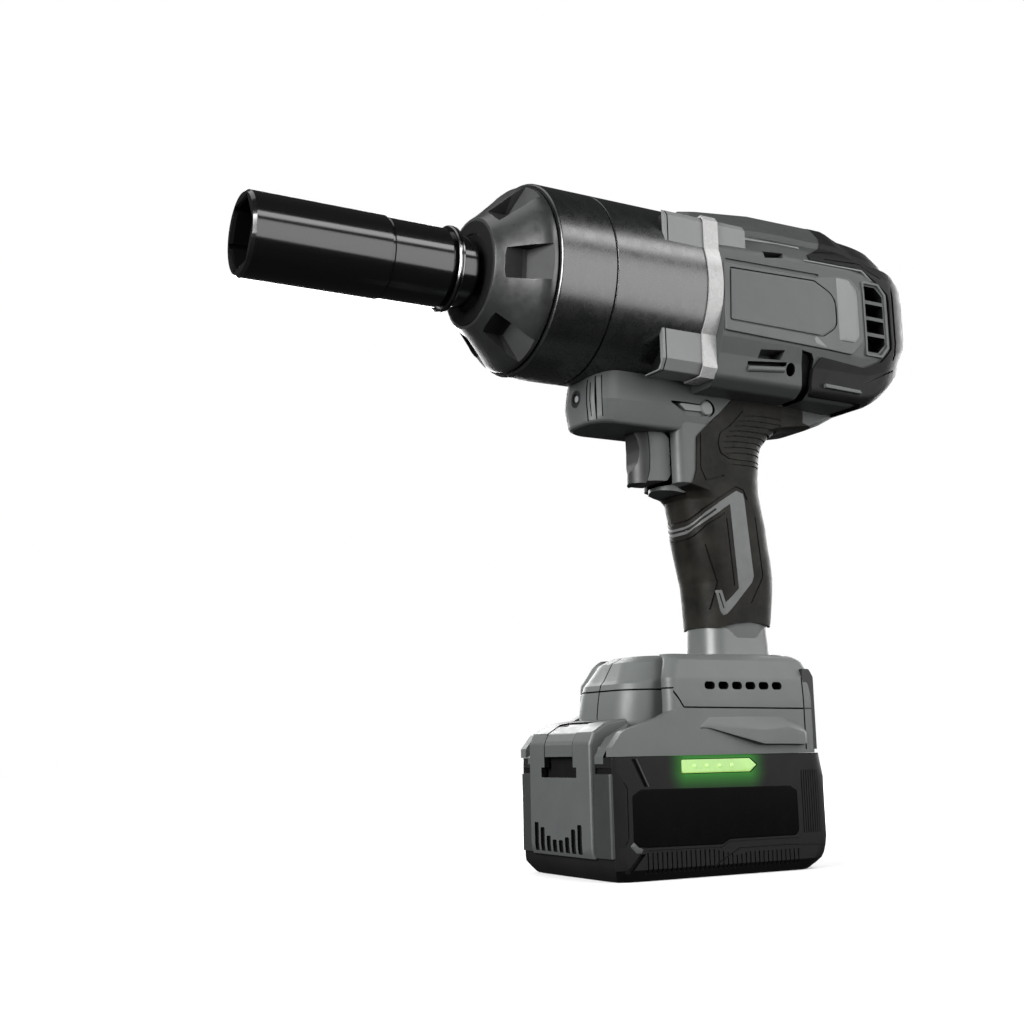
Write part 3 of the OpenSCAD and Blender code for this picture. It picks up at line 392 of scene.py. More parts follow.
def solid(rings, loop=False):
    """A closed mesh through rings of the same number of points, capped or joined end to end."""
    bm = bmesh.new()
    vs = [[bm.verts.new(Vector(p) * MM) for p in r] for r in rings]
    n = len(rings[0])
    for a, b in zip(vs, vs[1:] + vs[:1] if loop else vs[1:]):
        for i in range(n):
            bm.faces.new((a[i], a[(i + 1) % n], b[(i + 1) % n], b[i]))
    if not loop:
        bm.faces.new(vs[0][::-1])
        bm.faces.new(vs[-1])
    bmesh.ops.recalc_face_normals(bm, faces=bm.faces)
    return bm


def stack(*layers):
    """A solid across x through (x, outline) layers."""
    return solid([[(x, y, z) for y, z in outline] for x, outline in layers])


# the point at height h along an axis and at p across it
PLACE = {"x": lambda p, h: (h, *p), "y": lambda p, h: (p[0], h, p[1]), "z": lambda p, h: (*p, h)}


def prism(outline, axis, lo, hi):
    return solid([[PLACE[axis](p, h) for p in outline] for h in (lo, hi)])


def across(outline, x0, x1):
    return prism(outline, "x", x0, x1)


def region(points, x0=-60, x1=60):
    """A prism across x from an outline given from the tool's axis."""
    return across(raised(points), x0, x1)


def box(lo, hi):
    return prism([(lo[0], lo[1]), (hi[0], lo[1]), (hi[0], hi[1]), (lo[0], hi[1])], "z", lo[2], hi[2])


def around(y, r, n):
    return [(r * math.sin(2 * math.pi * k / n), y, AX + r * math.cos(2 * math.pi * k / n)) for k in range(n)]


def lathe(profile, n=96):
    """A ring about the tool's axis from a closed outline of (y, r) pairs."""
    return solid([around(y, r, n) for y, r in profile], loop=True)


def turn(profile, n=64):
    """A capped round solid about the tool's axis through (y, r) pairs."""
    return solid([around(y, r, n) for y, r in profile])


def bolt(profile, centre, axis, n=40):
    """A round solid along axis through (height, radius) pairs."""
    return solid([[PLACE[axis](p, h) for p in circle(*centre, r, n)] for h, r in profile])


def strip(p, q, w):
    """A straight band of width w from p to q."""
    d = (Vector(q) - Vector(p)).normalized()
    n = Vector((-d.y, d.x)) * w / 2
    return [tuple(Vector(p) + n), tuple(Vector(q) + n), tuple(Vector(q) - n), tuple(Vector(p) - n)]


def path_band(points, w, x0=-40, x1=40):
    """Bands along a run of points in y and z."""
    return [across(strip(a, b, w), x0, x1) for a, b in zip(points, points[1:])]


def turned(bm, deg, axis, at):
    bmesh.ops.rotate(bm, cent=Vector(at) * MM, matrix=Matrix.Rotation(math.radians(deg), 3, axis),
        verts=bm.verts)
    return bm


def flipped(bm):
    """The mirror image across x = 0."""
    bmesh.ops.scale(bm, vec=(-1, 1, 1), verts=bm.verts)
    bmesh.ops.reverse_faces(bm, faces=bm.faces)
    return bm


SIDES = (("left", lambda bm: bm), ("right", flipped))


def mesh_of(name, bm, mat):
    """An object from bm; mat is a key of M or a material."""
    me = bpy.data.meshes.new(name)
    bm.to_mesh(me)
    bm.free()
    me.materials.append(M.get(mat, mat))
    o = bpy.data.objects.new(name, me)
    scene.collection.objects.link(o)
    return o


def settle(o):
    """Applies the object's modifiers."""
    dg = bpy.context.evaluated_depsgraph_get()
    me = bpy.data.meshes.new_from_object(o.evaluated_get(dg))
    o.modifiers.clear()
    o.data = me


def combine(o, how, tool):
    """A boolean of o with the object tool, which is used up."""
    b = o.modifiers.new("b", "BOOLEAN")
    b.operation, b.object, b.solver, b.material_mode = how, tool, "EXACT", "TRANSFER"
    settle(o)
    bpy.data.objects.remove(tool)


def boolean(o, how, tools, mat=None):
    """Cuts, joins or intersects o with each bmesh in tools; new faces take mat."""
    for bm in tools:
        combine(o, how, mesh_of("tool", bm, mat or o.data.materials[0]))


# cut faces take the near-black painted shade unless another material is given
def cut(o, tools, mat="painted_shade"):
    boolean(o, "DIFFERENCE", tools, mat)


def finish(o, slot, bevel=0.5, segments=2, angle=28, smooth=32, replaces=(), body="tool"):
    """Rounds the edges, sets the shading, and hangs the piece on its body."""
    bm = bmesh.new()
    bm.from_mesh(o.data)
    bmesh.ops.remove_doubles(bm, verts=bm.verts, dist=1e-5)
    bmesh.ops.dissolve_degenerate(bm, edges=bm.edges, dist=1e-5)
    bm.to_mesh(o.data)
    bm.free()
    if bevel:
        b = o.modifiers.new("bevel", "BEVEL")
        b.width, b.segments, b.limit_method, b.angle_limit = bevel * MM, segments, "ANGLE", math.radians(angle)
        b.use_clamp_overlap, b.harden_normals = True, False
        settle(o)
    for p in o.data.polygons:
        p.use_smooth = True
    o.data.set_sharp_from_angle(angle=math.radians(smooth))
    w = o.modifiers.new("normals", "WEIGHTED_NORMAL")
    w.keep_sharp, w.weight = True, 60
    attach(o, body)
    if replaces:
        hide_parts(*replaces)


def piece(name, bm, mat, body="tool", slot=None, **how):
    finish(mesh_of(name, bm, mat), slot or mat, body=body, **how)


# ---------------------------------------------------------------- socket, nose and hammer case

CASE_R = 44
CASE_SPACE = [(-20, CASE_R + 0.1), (7.4, CASE_R + 0.1)]                      # the case and its clearance
MOTOR_SPACE = [(7.3, 41.3), (20.5, 41.3), (20.5, 38.3), (112, 38.3)]         # the bore for gears and motor


def hexagon(af):
    return arc(0, AX, af / 2 / math.cos(math.radians(30)), 0, 300, 5)


def make_socket():
    o = mesh_of("socket_body", lathe([(-205, 12.9), (-205, 17.1), (-203.6, 18.2), (-144.6, 18.2),
        (-144.1, 17.2), (-143.3, 17.2), (-142.9, 17.6), (-116, 17.6), (-115.2, 16.6), (-114.6, 16.4),
        (-110.2, 16.4), (-109.9, 16), (-103.4, 16), (-102.4, 15), (-102.4, 9.4), (-135, 9.4), (-135, 12.4),
        (-175, 12.4), (-175, 12.9)], 144), "socket_steel")
    mouth = hexagon(27.2)
    flutes = [prism(fillet(mouth, 1.2, 3), "y", -210, -175.1)]
    for x, z in arc(0, AX, 15, 0, 300, 5):
        flutes.append(prism(circle(x, z, 1.3, 16), "y", -210, -175.1))
    lead = solid([[(x, y, z) for x, z in scaled(mouth, 0, AX, k)] for y, k in ((-205.4, 1.06), (-202.6, 0.98))])
    cut(o, flutes + [lead], "socket_steel")
    finish(o, "socket_steel", 0.3, replaces=("socket",), body="output")


make_socket()
piece("retaining_ring", lathe([(-113.7, 16.45), (-113.7, 18.5), (-113.3, 19.1), (-112.6, 19.2), (-112.35, 18.7),
    (-112.1, 19.2), (-111.4, 19.1), (-110.9, 18.5), (-110.9, 16.45)], 128), "bright_steel", "output", bevel=0,
    replaces=("socket_ring",))


def make_nose():
    o = mesh_of("nose_shell", lathe([(-100.2, 19), (-100.2, 24.1), (-99.9, 24.9), (-99.2, 25.5), (-97, 27.2),
        (-94, 29.9), (-86.9, 36.6), (-84.4, 39.2), (-82.2, 41), (-80.6, 41.8), (-79.6, 42), (-78.7, 42),
        (-78.7, 22.2), (-99.2, 22.2), (-99.2, 19)], 144), "nose_metal")
    floor = fillet([(-96.6, -6.6), (-86.4, -7.2), (-86.4, 7.2), (-96.6, 6.6)], 1, 3)
    top = fillet([(-98.4, -7.4), (-84.4, -8.2), (-84.4, 8.2), (-98.4, 7.4)], 1, 3)
    ramp_floor = [(-88, -7), (-85.8, -7), (-85.8, 7), (-88, 7)]
    ramp_top = [(-88, -8), (-79, -8), (-79, 8), (-88, 8)]
    for depth, low, high, mat in ((27.4, floor, top, "seal_rubber"), (27.3, ramp_floor, ramp_top, "nose_ramp")):
        cut(o, [turned(stack((depth, raised(low)), (45, raised(high))), 60 * k + 7, "Y", (0, 0, AX))
            for k in range(6)], mat)
    finish(o, "nose_metal", 0.35, replaces=("nose_cover",))


make_nose()
# the gasket is drawn in the near-black painted shade, darker than its rubber, for the shade at the nose's front
piece("nose_gasket", lathe([(-99.9, 10.2), (-99.9, 17.4), (-100.5, 17.8), (-100.5, 23.2), (-100.2, 23.6),
    (-99.6, 23.6), (-99.3, 17.6), (-98.9, 17.4), (-98.9, 10.2)], 96), "painted_shade", slot="seal_rubber", bevel=0.15)
piece("hammer_case_shell", lathe([(-78.5, 38), (-78.5, 41), (-77.7, 41), (-77.6, 43.2), (-77.2, 43.8),
    (-76.7, CASE_R), (-50, CASE_R), (-49.8, 43.7), (-49.6, 43), (-49.2, 43), (-49, 43.7), (-48.8, CASE_R),
    (6.9, CASE_R), (7.4, 43.6), (7.4, 38)], 180), "case_metal", bevel=0.12, segments=1,
    replaces=("hammer_case",))


# ---------------------------------------------------------------- clamp pads

def make_pads():
    """Each clamp pad is a block with an end plate set off by a shadow line at its front."""
    up = fillet([(30, 14), (41.4, 14), (41.4, 27.2), (39.4, 30.2), (31, 30.2)], [0, 0.8, 1.2, 1.2, 0], 3)
    low = fillet([(22, -24.5), (36.6, -24.5), (36.6, -38.6), (33.6, -43.6), (22, -43.6)], [0, 0.8, 1.2, 1.2, 0],
        3)
    up_hide = [(20, 13), (39.4, 13), (39.4, 29), (38.6, 31), (20, 31)]
    low_hide = [(20, -25.4), (34.4, -25.4), (34.4, -40.4), (32.2, -43), (20, -43)]
    for side, tag in ((1, "left"), (-1, "right")):
        for which, outline, hide, cx, cw in (("upper", up, up_hide, 34, 21), ("lower", low, low_hide, 27, -34)):
            pts = [(x * side, AX + w) for x, w in outline[::side]]
            o = mesh_of(f"clamp_pad_{which}_{tag}", prism(pts, "y", -22, 24), LIGHT)
            mid = (cx * side, AX + cw)
            shadow = mesh_of("shadow", prism(scaled(pts, *mid, 1.25), "y", -20.6, -20), "painted_shade")
            boolean(shadow, "DIFFERENCE", [prism(scaled(pts, *mid, 0.93), "y", -21, -19)])
            combine(o, "DIFFERENCE", shadow)
            boolean(o, "DIFFERENCE", [lathe([(-40, 20), (-40, 43.6), (40, 43.6), (40, 20)])])
            cut(o, [prism([(x * side, AX + w) for x, w in hide], "y", -30, -18.4)], "case_metal")
            finish(o, LIGHT, 0.35, replaces=("clamp_pads",) if (which, tag) == ("upper", "left") else ())


make_pads()


# ---------------------------------------------------------------- motor housing

TOP, LOW, HALF, REAR = 50.5, 47.5, 43.5, 132.5     # the section's reach up, down and aside, and its rear end
SECTION = fillet([(-12, TOP), (12, TOP), (19.5, 47.2), (29.2, 35.4), (31, 31.2), (38.2, 26.2), (42.4, 18),
    (HALF, 9), (HALF, -19), (42.6, -25.5), (39.2, -33), (36.2, -43.6), (30.5, -LOW), (-30.5, -LOW)], [0, 5, 7,
    2, 1.4, 8, 10, 10, 8, 6, 5, 5, 4, 0], 4)[1:-1]
TOP_LINE = [(7.5, 45.2), (14, 46.4), (45, 50), (86, 50.5), (90, 49.2), (98, 45.4), (119.5, 43.3), (124.5, 41),
    (128.5, 37), (131.2, 32), (132.5, 26)]
LOW_LINE = [(7.5, 47.5), (92.5, 47.5), (100, 45.6), (106, 42.2), (112, 38), (119.5, 31.5), (125, 25),
    (128.5, 19.5), (131.2, 14), (132.5, 10)]
STATIONS = [7.5, 10, 14, 19, 24, 34, 45, 60, 75, 84, 86.5, 88.5, 91, 95, 99, 102, 104.5, 107, 109.5, 112, 114.5,
    117, 119.5, 122, 124.2, 126.2, 128, 129.5, 130.7, 131.6, 132.2, 132.5]


def shell_solid(grow=0, rear=REAR, start=0):
    """The housing's body from station start, grown by grow, with its rear end at rear."""
    rings = []
    for v in [v for v in STATIONS if v >= start]:
        top, low = table(TOP_LINE, v) / TOP, table(LOW_LINE, v) / LOW
        wide = 1 if v <= 104.5 else (15.5 + 28 * math.sqrt(max(0, 1 - ((v - 104.5) / 28) ** 2))) / HALF
        aside, down = wide + grow / HALF, low + grow / LOW
        up = min(top + grow / TOP, max(top, 50.45 / TOP))     # never over the CAD's own top
        half = [(x * aside, w * (up if w > 0 else down)) for x, w in SECTION]
        half = [(0, half[0][1])] + half + [(0, half[-1][1])]
        rings.append([(x, v + rear - REAR, AX + w) for x, w in mirror(half)])
    return solid(rings)


def make_motor_shell():
    o = mesh_of("motor_housing", shell_solid(), "housing_grey")
    cuts, shade = [], []
    for tag, on_side in SIDES:
        # groove over the badge panel, slots in the upper and lower facets, groove under the panel, channel
        cuts += [on_side(bm) for bm in (turned(box((42.2, 10.5, AX + 10.6), (50, 66.5, AX + 11.9)), 1.2, "X",
            (43, 38, AX + 11)), region([(34.2, 15.6), (45.4, 17.2), (46.6, 20.2), (33.8, 19)], 33, 60),
            region([(30.4, -29.2), (44.4, -28), (43, -32.4), (29.6, -33.2)], 31, 60), turned(box((42.9, 27.6,
            AX - 26.7), (50, 47.6, AX - 26.2)), 1, "X", (43, 38, AX - 26)), region([(24.5, -39.8),
            (24.5, -36.6), (46, -34.6), (46, -37.8)], 35.6, 50))]
        # painted shadow over the channel, the hole it ends in, painted dark, and the painted shadow over the
        # rod behind the pads
        hole = [(49.8 + 2.7 * c, -35.9 + 3.1 * s) for c, s in circle(0, 0, 1, 16)]
        shade += [on_side(bm) for bm in (region([(24.2, -36.6), (24.2, -35), (47, -32.9), (47, -34.6)], 35, 50),
            region(hole, 30, 60), region([(24.2, 26.6), (60, 27.2), (66, 29.4), (24.2, 29.2)], 33.4, 50))]
    cut(o, cuts, "housing_grey")
    cut(o, shade)
    # dark step between the housing and the bumper: a band cut in, with painted shade on its faces
    gap = mesh_of("gap", shell_solid(3), "painted_shade")
    boolean(gap, "INTERSECT", [region([(54.4, -26.6), (60.5, -27.4), (62.6, -30), (62.8, -46.4), (64, -60),
        (59, -60), (58.2, -45), (56.6, -36)])])
    boolean(gap, "DIFFERENCE", [shell_solid(-2.4)])
    combine(o, "DIFFERENCE", gap)
    # louvre windows and the seam along the top, cut with painted shade on their faces
    windows = []
    for lo, hi in ((30, 60), (-60, -30)):
        for pts in ([(95.2, -22.2), (102, -22.2), (106.6, -17.6), (106.6, -14.4), (95.2, -14.4)],
                [(95.2, -12.6), (106.6, -12.6), (106.6, -6.2), (95.2, -6.2)], [(95.2, -4.4), (106.6, -4.4),
                (106.6, 2), (95.2, 2)], [(95.2, 3.8), (106.6, 3.8), (106.6, 6.8), (102.4, 11.2), (95.2, 11.2)]):
            windows.append(region(fillet(pts, 0.5, 2), lo, hi))
    windows.append(box((-0.25, 6, AX + 44.6), (0.25, 120, AX + 60)))
    cut(o, windows)
    cut(o, [turn([(0, 41.2), (20.5, 41.2), (20.5, 38.3), (88, 38.3), (88, 31), (120, 31)])])
    finish(o, GREY, 0.4, angle=25, smooth=30, replaces=("housing_left",))


make_motor_shell()


def make_side_panel(tag, on_side):
    """Raised frame, badge plate, louvre frame and the curved boss between them."""
    outline = fillet([(8.2, -23.6), (8.2, 8.6), (63, 9.8), (77, 12.8), (86.5, 12.8), (92.2, 7.6), (92.2, -17.5),
        (84.5, -25.6), (70, -25)], [1, 1, 6, 6, 3, 4, 4, 3, 6], 4)
    o = mesh_of(f"side_frame_{tag}", on_side(region(outline, 42, 44.15)), GREY)
    groove = fillet([(10.9, -18.7), (12.1, 6.8), (63, 8.4), (75.6, 2.5), (75.6, -13), (66, -19.2)], [0.6, 0.6,
        4, 8, 6, 5], 5)
    cut(o, [on_side(region(groove, 43.3, 50))])
    finish(o, GREY, 0.5, 3, 25, 30)
    plate = fillet([(11.6, -18), (12.7, 6.2), (62.6, 7.7), (74.9, 2.2), (74.9, -12.7), (65.6, -18.5)],
        [0.5, 0.5, 4, 8, 6, 5], 5)
    layers = [(x, raised(scaled(plate, 43, -6, 1 - k / 34, 1 - k / 13))) for x, k in ((42.5, 0), (44.2, 0),
        (44.35, 0.6), (44.4, 1.4))]
    piece(f"badge_plate_{tag}", on_side(stack(*layers)), GREY, bevel=0, replaces=("badge_plates",)
        if tag == "left" else ())
    # wedge that closes the lower edge of the badge panel
    rings = [[(x, y, AX + w) for x, w in ((42.4, top), (x1, top), (x2, low), (42.4, low))] for y, x1, x2, top,
        low in ((58, 43.6, 43.6, -22.4, -23.4), (62, 44.4, 44.2, -19.6, -23), (68, 44.3, 44.2, -23.8, -24.2))]
    piece(f"panel_wedge_{tag}", on_side(solid(rings)), LIGHT, bevel=0.2)
    rim = fillet([(93.6, -24.6), (104, -24.6), (109, -19.2), (109, 8.2), (104.4, 13.4), (93.6, 13.4)], 1, 3)
    inner = fillet([(94.6, -23.4), (103.3, -23.4), (107.6, -18.6), (107.6, 7.6), (103.6, 12.2), (94.6, 12.2)],
        0.6, 2)
    o = mesh_of(f"louvre_rim_{tag}", on_side(region(rim, 41.5, 43.95)), GREY)
    boolean(o, "DIFFERENCE", [on_side(region(inner, 40, 50))])
    finish(o, GREY, 0.3)
    # near-black sheet behind the louvre windows: painted shade inside the housing
    piece(f"louvre_back_{tag}", on_side(region([(92, -24), (108, -24), (108, 13), (92, 13)], 33, 34)), "painted_shade",
        slot=BLACK, bevel=0)
    # rods along the upper and lower facets; the upper rod's light plastic is a painted highlight along it
    for name, a, c, r, mat in (("upper_rod", (36.5, 24.6, 25.3), (36.2, 60.5, 26.3), 1.35, LIGHT), ("lower_rod",
            (37.6, 24.6, -38.3), (37.9, 46, -36.3), 1.5, GREY)):
        rings = []
        for t, k in ((0, 0.3), (0, 0.9), (0.01, 1), (0.99, 1), (1, 0.9), (1, 0.3)):
            x, y, w = (p + (q - p) * t for p, q in zip(a, c))
            rings.append([(u, y, v) for u, v in circle(x, AX + w, r * k, 16)])
        piece(f"{name}_{tag}", on_side(solid(rings)), mat, bevel=0, smooth=50)
    # the curved boss is drawn in light plastic: a painted highlight on its face
    boss = fillet([(76.6, -19.6), (76.6, 12), (84.4, 12), (89.4, 7.4), (89.4, -16), (86, -19.6)], [1, 1, 3, 4,
        3, 2], 5)
    layers = [(x, raised(scaled(boss, 83, -4, 1 - k / 6.6, 1 - k / 24))) for x, k in ((43.4, 0), (44.2, 0),
        (44.5, 0.7), (44.68, 1.8), (44.8, 3.4), (44.86, 5.2))]
    piece(f"side_boss_{tag}", on_side(stack(*layers)), LIGHT, bevel=0, smooth=60)


for tag, on_side in SIDES:
    make_side_panel(tag, on_side)


def make_bumper():
    o = mesh_of("rear_bumper_shell", shell_solid(1, 135, 50), "bumper_rubber")
    reach = fillet([(84, 60), (84, 40), (79, 32), (61, 21.6), (60.4, 19.4), (95.4, 19.8), (104.6, 13.4),
        (109.8, 8.6), (110.6, 5), (110.6, -19.5), (104.6, -26.4), (94, -30.5), (66, -28.6), (61.4, -36),
        (63.8, -46), (98, -46.4), (98, -60), (170, -60), (170, 60)], [0, 1, 2, 1, 0.4, 1, 1, 1, 1, 2, 2, 4, 1.5,
        2, 2, 1, 0, 0, 0], 3)
    boolean(o, "INTERSECT", [region(reach)])
    boolean(o, "DIFFERENCE", [shell_solid(-1.2, 131.5, 40)])
    grooves = []
    for tag, on_side in SIDES:
        # folds of the lower panel, of the rear and of the upper arm
        folds = [turned(box((40.3, 66, AX - 37.4), (60, 97, AX - 36.6)), -2, "X", (40, 80, AX - 37)),
            turned(box((30, 96, AX - 37), (60, 118, AX - 36.2)), 24, "X", (40, 97, AX - 37)),
            region([(112.6, -24), (114, -24), (114, 14), (112.6, 10)], 37, 60), region([(123.6, -20),
            (124.2, -20), (124.2, 22), (123.6, 22)], 34, 60)]
        for line in ([(66, 24), (84, 29), (104, 28), (116, 20)], [(72, 21.6), (96, 23.4), (107, 16.4)]):
            folds += path_band(raised(line), 0.6, 33, 60)
        grooves += [on_side(bm) for bm in folds]
    cut(o, grooves)
    finish(o, "bumper_rubber", 0.45, angle=25, replaces=("rear_bumper",))
    for tag, on_side in SIDES:
        # rib on the lower panel, drawn in grey plastic instead of the bumper's rubber: a painted highlight on
        # its facet
        piece(f"bumper_rib_{tag}", on_side(region([(70, -40.4), (92, -41.2), (93, -43), (70.4, -42.4)], 36,
            39.8)), GREY, slot="bumper_rubber", bevel=0.4)
        # light plastic strip along the shell's edge under the bumper: a painted highlight
        edge = [(58.4, 19), (95.6, 19.6), (104.8, 13), (104.2, 12.4), (95.2, 18.8), (58.4, 18.2)]
        piece(f"shell_edge_{tag}", on_side(region(edge, 34, 42.6)), LIGHT, bevel=0.3)


make_bumper()


# ---------------------------------------------------------------- bar under the hammer case

SELECTOR_AT, LIGHT_AT = (15.3, 209.9), (0, 211.8)


def make_bar():
    rings = []
    for z, half, front, back in ((198.4, 14.4, -44.6, 12), (199, 15.2, -45.6, 16), (199.8, 15.7, -46, 20),
            (204.2, 17.1, -46, 40), (208.8, 18.5, -46, 50), (214, 17.8, -45.8, 57), (219.4, 17, -45.2, 60),
            (223.4, 16.6, -44, 60)):
        rings.append(level([(0, front)] + arc(half - 11.8, front + 12, 11.8, -90, 0, 16) + [(half, back - 7),
            (half - 1.6, back - 2), (half - 6, back), (0, back)], z))
    o = mesh_of("bar_shell", solid(rings), GREY)
    side = [(-60, 190), (9, 190), (9.2, 196.4), (31.4, 216.9), (90, 217.2), (90, 230), (-60, 230)]
    boolean(o, "INTERSECT", [across(side, -40, 40)])
    cuts, dark = [turn([(-90, CASE_R + 0.1), (7.4, CASE_R + 0.1)], 128)], []
    for tag, on_side in SIDES:
        # upright steps on the rounded front corner: direction, depth, width
        for a, deep, w, into in ((-46, 1, 2.8, cuts), (-53.5, 1.3, 0.6, dark), (-38.5, 1.3, 0.5, dark),
                (-76, 0.9, 0.7, dark), (-66, 0.7, 0.5, dark)):
            bm = turned(box((11.8 - deep, -w / 2, 190), (16, w / 2, 230)), a, "Z", (0, 0, 0))
            bmesh.ops.translate(bm, vec=Vector((5.9, -34, 0)) * MM, verts=bm.verts)
            into.append(on_side(bm))
        # opening the selector slides in
        slot = fillet([(-6.6, 211.4), (3, 211.6), (12.6, 211.4), (13, 205.8), (3.4, 205.4)], 0.5, 2)
        dark += [on_side(across(slot, 14, 30)), on_side(across(circle(*SELECTOR_AT, 4.35, 32), 14, 30))]
    dark.append(prism(circle(0, 211.6, 4, 24), "y", -50, -40))
    cut(o, cuts, GREY)
    # the narrow steps, the selector opening and the lamp hole are cut with painted shade on their faces
    cut(o, dark)
    finish(o, GREY, 0.3, angle=18, smooth=18)


make_bar()
piece("work_light_bezel", bolt([(-45.4, 4.1), (-45.9, 3.9), (-45.9, 2.5), (-44.4, 2.3), (-42, 4.1)], LIGHT_AT,
    "y"), BLACK, bevel=0)
piece("work_light_lens", bolt([(-45.6, 0.5), (-45.5, 1.4), (-45.1, 2.1), (-43.6, 2.2)], LIGHT_AT, "y"),
    "lamp_lens", bevel=0, replaces=("work_light",))


def make_selector():
    ends = [(17.9, 3.3), (18.3, 2.9), (18.4, 2.3)]
    o = mesh_of("selector_slide", bolt([(-h, r) for h, r in ends[::-1]] + ends, SELECTOR_AT, "x"), LIGHT)
    blade = fillet([(-0.4, 210.9), (14, 211), (14, 208.2), (3, 207.9)], 0.4, 2)
    boolean(o, "UNION", [across(blade, -17.6, 17.6)])
    finish(o, LIGHT, 0.25, replaces=("selector",), body="selector")


make_selector()


# ---------------------------------------------------------------- handle

FRONT = [(90, 14.6), (104, 15.4), (120, 14.8), (129, 14.2), (136, 12.6), (144, 10.8), (150, 9.6), (158, 9),
    (168, 7.8), (171, 5.5), (174, -1.6), (222, -2)]
BACK = [(90, 53.6), (104, 53.6), (112, 55.4), (124, 56.9), (132, 57.4), (140, 56.8), (148, 55.6), (156, 54.9),
    (164, 53.2), (172, 51.8), (180, 51.6), (192, 52.4), (196, 53.9), (200, 56.9), (203, 60.5), (205, 65.4),
    (206.6, 74), (208.5, 85), (212, 94), (216.5, 103), (222, 110.6)]
RUBBER = fillet([(-20, 170.6), (0, 171.6), (3.2, 172.6), (6.3, 174.4), (8.3, 180), (9.3, 196.2), (31.6, 216.4),
    (75.8, 216), (75.2, 209.6), (110, 203), (80, 100), (56, 108.8), (46, 109.2), (37, 110.4), (27, 109.2),
    (19, 107.6), (13, 108.4), (-20, 108.6)], [0, 2, 1, 2, 2, 3, 1.5, 1, 0, 0, 0, 0, 3, 5, 5, 3, 3, 0])
INLAY = [(30.6, 171.8), (34.4, 170.6), (35.2, 168), (38.8, 131.8), (37.6, 128.8), (31.2, 122.2), (23.2, 113.8),
    (21.6, 113.2), (20.5, 115.4), (18.8, 124.8), (21.1, 124.8), (22.7, 119), (29.8, 125.6), (26.7, 165.3),
    (23.2, 163.2), (15.6, 158), (10.8, 154), (9.4, 151.6), (-16, 150), (-16, 152.8), (9.2, 155.1),
    (14.1, 160.9), (21, 166.1)]


def handle_solid(g, z0, z1):
    """The handle from z0 to z1, grown by g."""
    zs = sorted({z0, z1} | {z for z, _ in FRONT + BACK if z0 < z < z1} | {z0 + (z1 - z0) * k / 36
        for k in range(1, 36)})
    rings = []
    for z in zs:
        f, b = table(FRONT, z) - g, table(BACK, z) + g
        half = table([(90, 15.2), (104, 16), (129, 16.9), (150, 17.1), (175, 17.4), (222, 17.5)], z) + g
        rf = table([(90, 12.6), (160, 13.6), (170, 12), (174, 5), (222, 5)], z)
        rb = table([(90, 13), (175, 15), (196, 13), (206, 9), (222, 6)], z)
        y0, y1 = f + rf, b - rb
        side = [y0 + (y1 - y0) * k / 6 for k in range(1, 7)]
        side = [(half - max(0, y - 66) * 0.145, y) for y in side]      # it narrows under the motor
        rings.append(level([(0, f)] + arc(half - rf, y0, rf, -90, 0, 12) + side[:-1] + arc(side[-1][0] - rb, y1,
            rb, 0, 90, 12) + [(0, b)], z))
    return solid(rings)


def make_grip(name, g, bevel, grooves=(), **how):
    o = mesh_of(name, handle_solid(g, 102, 219), "grip_rubber")
    boolean(o, "INTERSECT", [across(RUBBER, -60, 60)])
    boolean(o, "DIFFERENCE", [turn(MOTOR_SPACE, 96)])
    cut(o, grooves, "grip_rubber")
    finish(o, "grip_rubber", bevel, **how)


def make_handle():
    o = mesh_of("handle_core", handle_solid(-0.9, 96, 222), GREY)
    cut(o, [box((-10.1, -30, 174), (10.1, 6.4, 200.8)), turn(CASE_SPACE, 96), turn(MOTOR_SPACE, 96)])
    finish(o, GREY, 0.3, angle=30, smooth=34)
    make_grip("grip_base", -0.55, 0, smooth=40, replaces=("grip_right",))
    outline = fillet([(37, 211.2), (29, 203.4), (22.6, 198.9), (21.2, 194), (22.6, 189.2), (27.2, 187),
        (33, 186.6), (62, 186.8)], [0, 2, 3, 3, 2, 2, 0, 0], 3)
    grooves = path_band(outline, 0.7)
    for k in range(8):
        z = 189.6 + 2.75 * k
        y0 = table([(189, 25.6), (194, 24.6), (199, 26.4), (204, 32.2), (210, 38.6)], z)
        grooves += path_band([(y0, z - 0.5), (y0 + 6, z + 0.35), (y0 + 14, z + 0.5), (60, z)], 0.75)
    # edge of the palm panel and fine relief round the inlay
    for line, w in (([(29, 184.2), (62, 184.6)], 0.7), ([(9, 157.2), (13.6, 162.8), (20.4, 167.8),
            (30.4, 173.6), (34.8, 172.4), (36.8, 168)], 0.8), ([(9.8, 149), (14.6, 155), (23.4, 160.8)], 0.5),
            ([(24.4, 158.6), (27.4, 127)], 0.6), ([(14.4, 146), (19.6, 128.4), (17.2, 116)], 0.6),
            ([(41.4, 160), (44.4, 132), (36.8, 119)], 0.6), ([(11.2, 198.6), (10.6, 181), (13.4, 175.4),
            (24, 178.6)], 0.6)):
        grooves += path_band(line, w)
    make_grip("grip_skin", 0, 0.22, grooves, angle=30, smooth=34, replaces=("grip_left",))
    o = mesh_of("grip_inlay", handle_solid(0.14, 105, 219), "inlay_grey")
    boolean(o, "INTERSECT", [across(INLAY, -40, 40)])
    boolean(o, "DIFFERENCE", [handle_solid(-0.5, 104, 220)])
    cut(o, path_band([(20.1, 123.4), (21.9, 116.4)], 0.5) + path_band([(-16, 151.4), (9.3, 153.4),
        (12.6, 157.6), (18.6, 162.4)], 0.9), "grip_rubber")
    finish(o, LIGHT, 0.12, 1, 35, 40, replaces=("grip_inlays",))


make_handle()


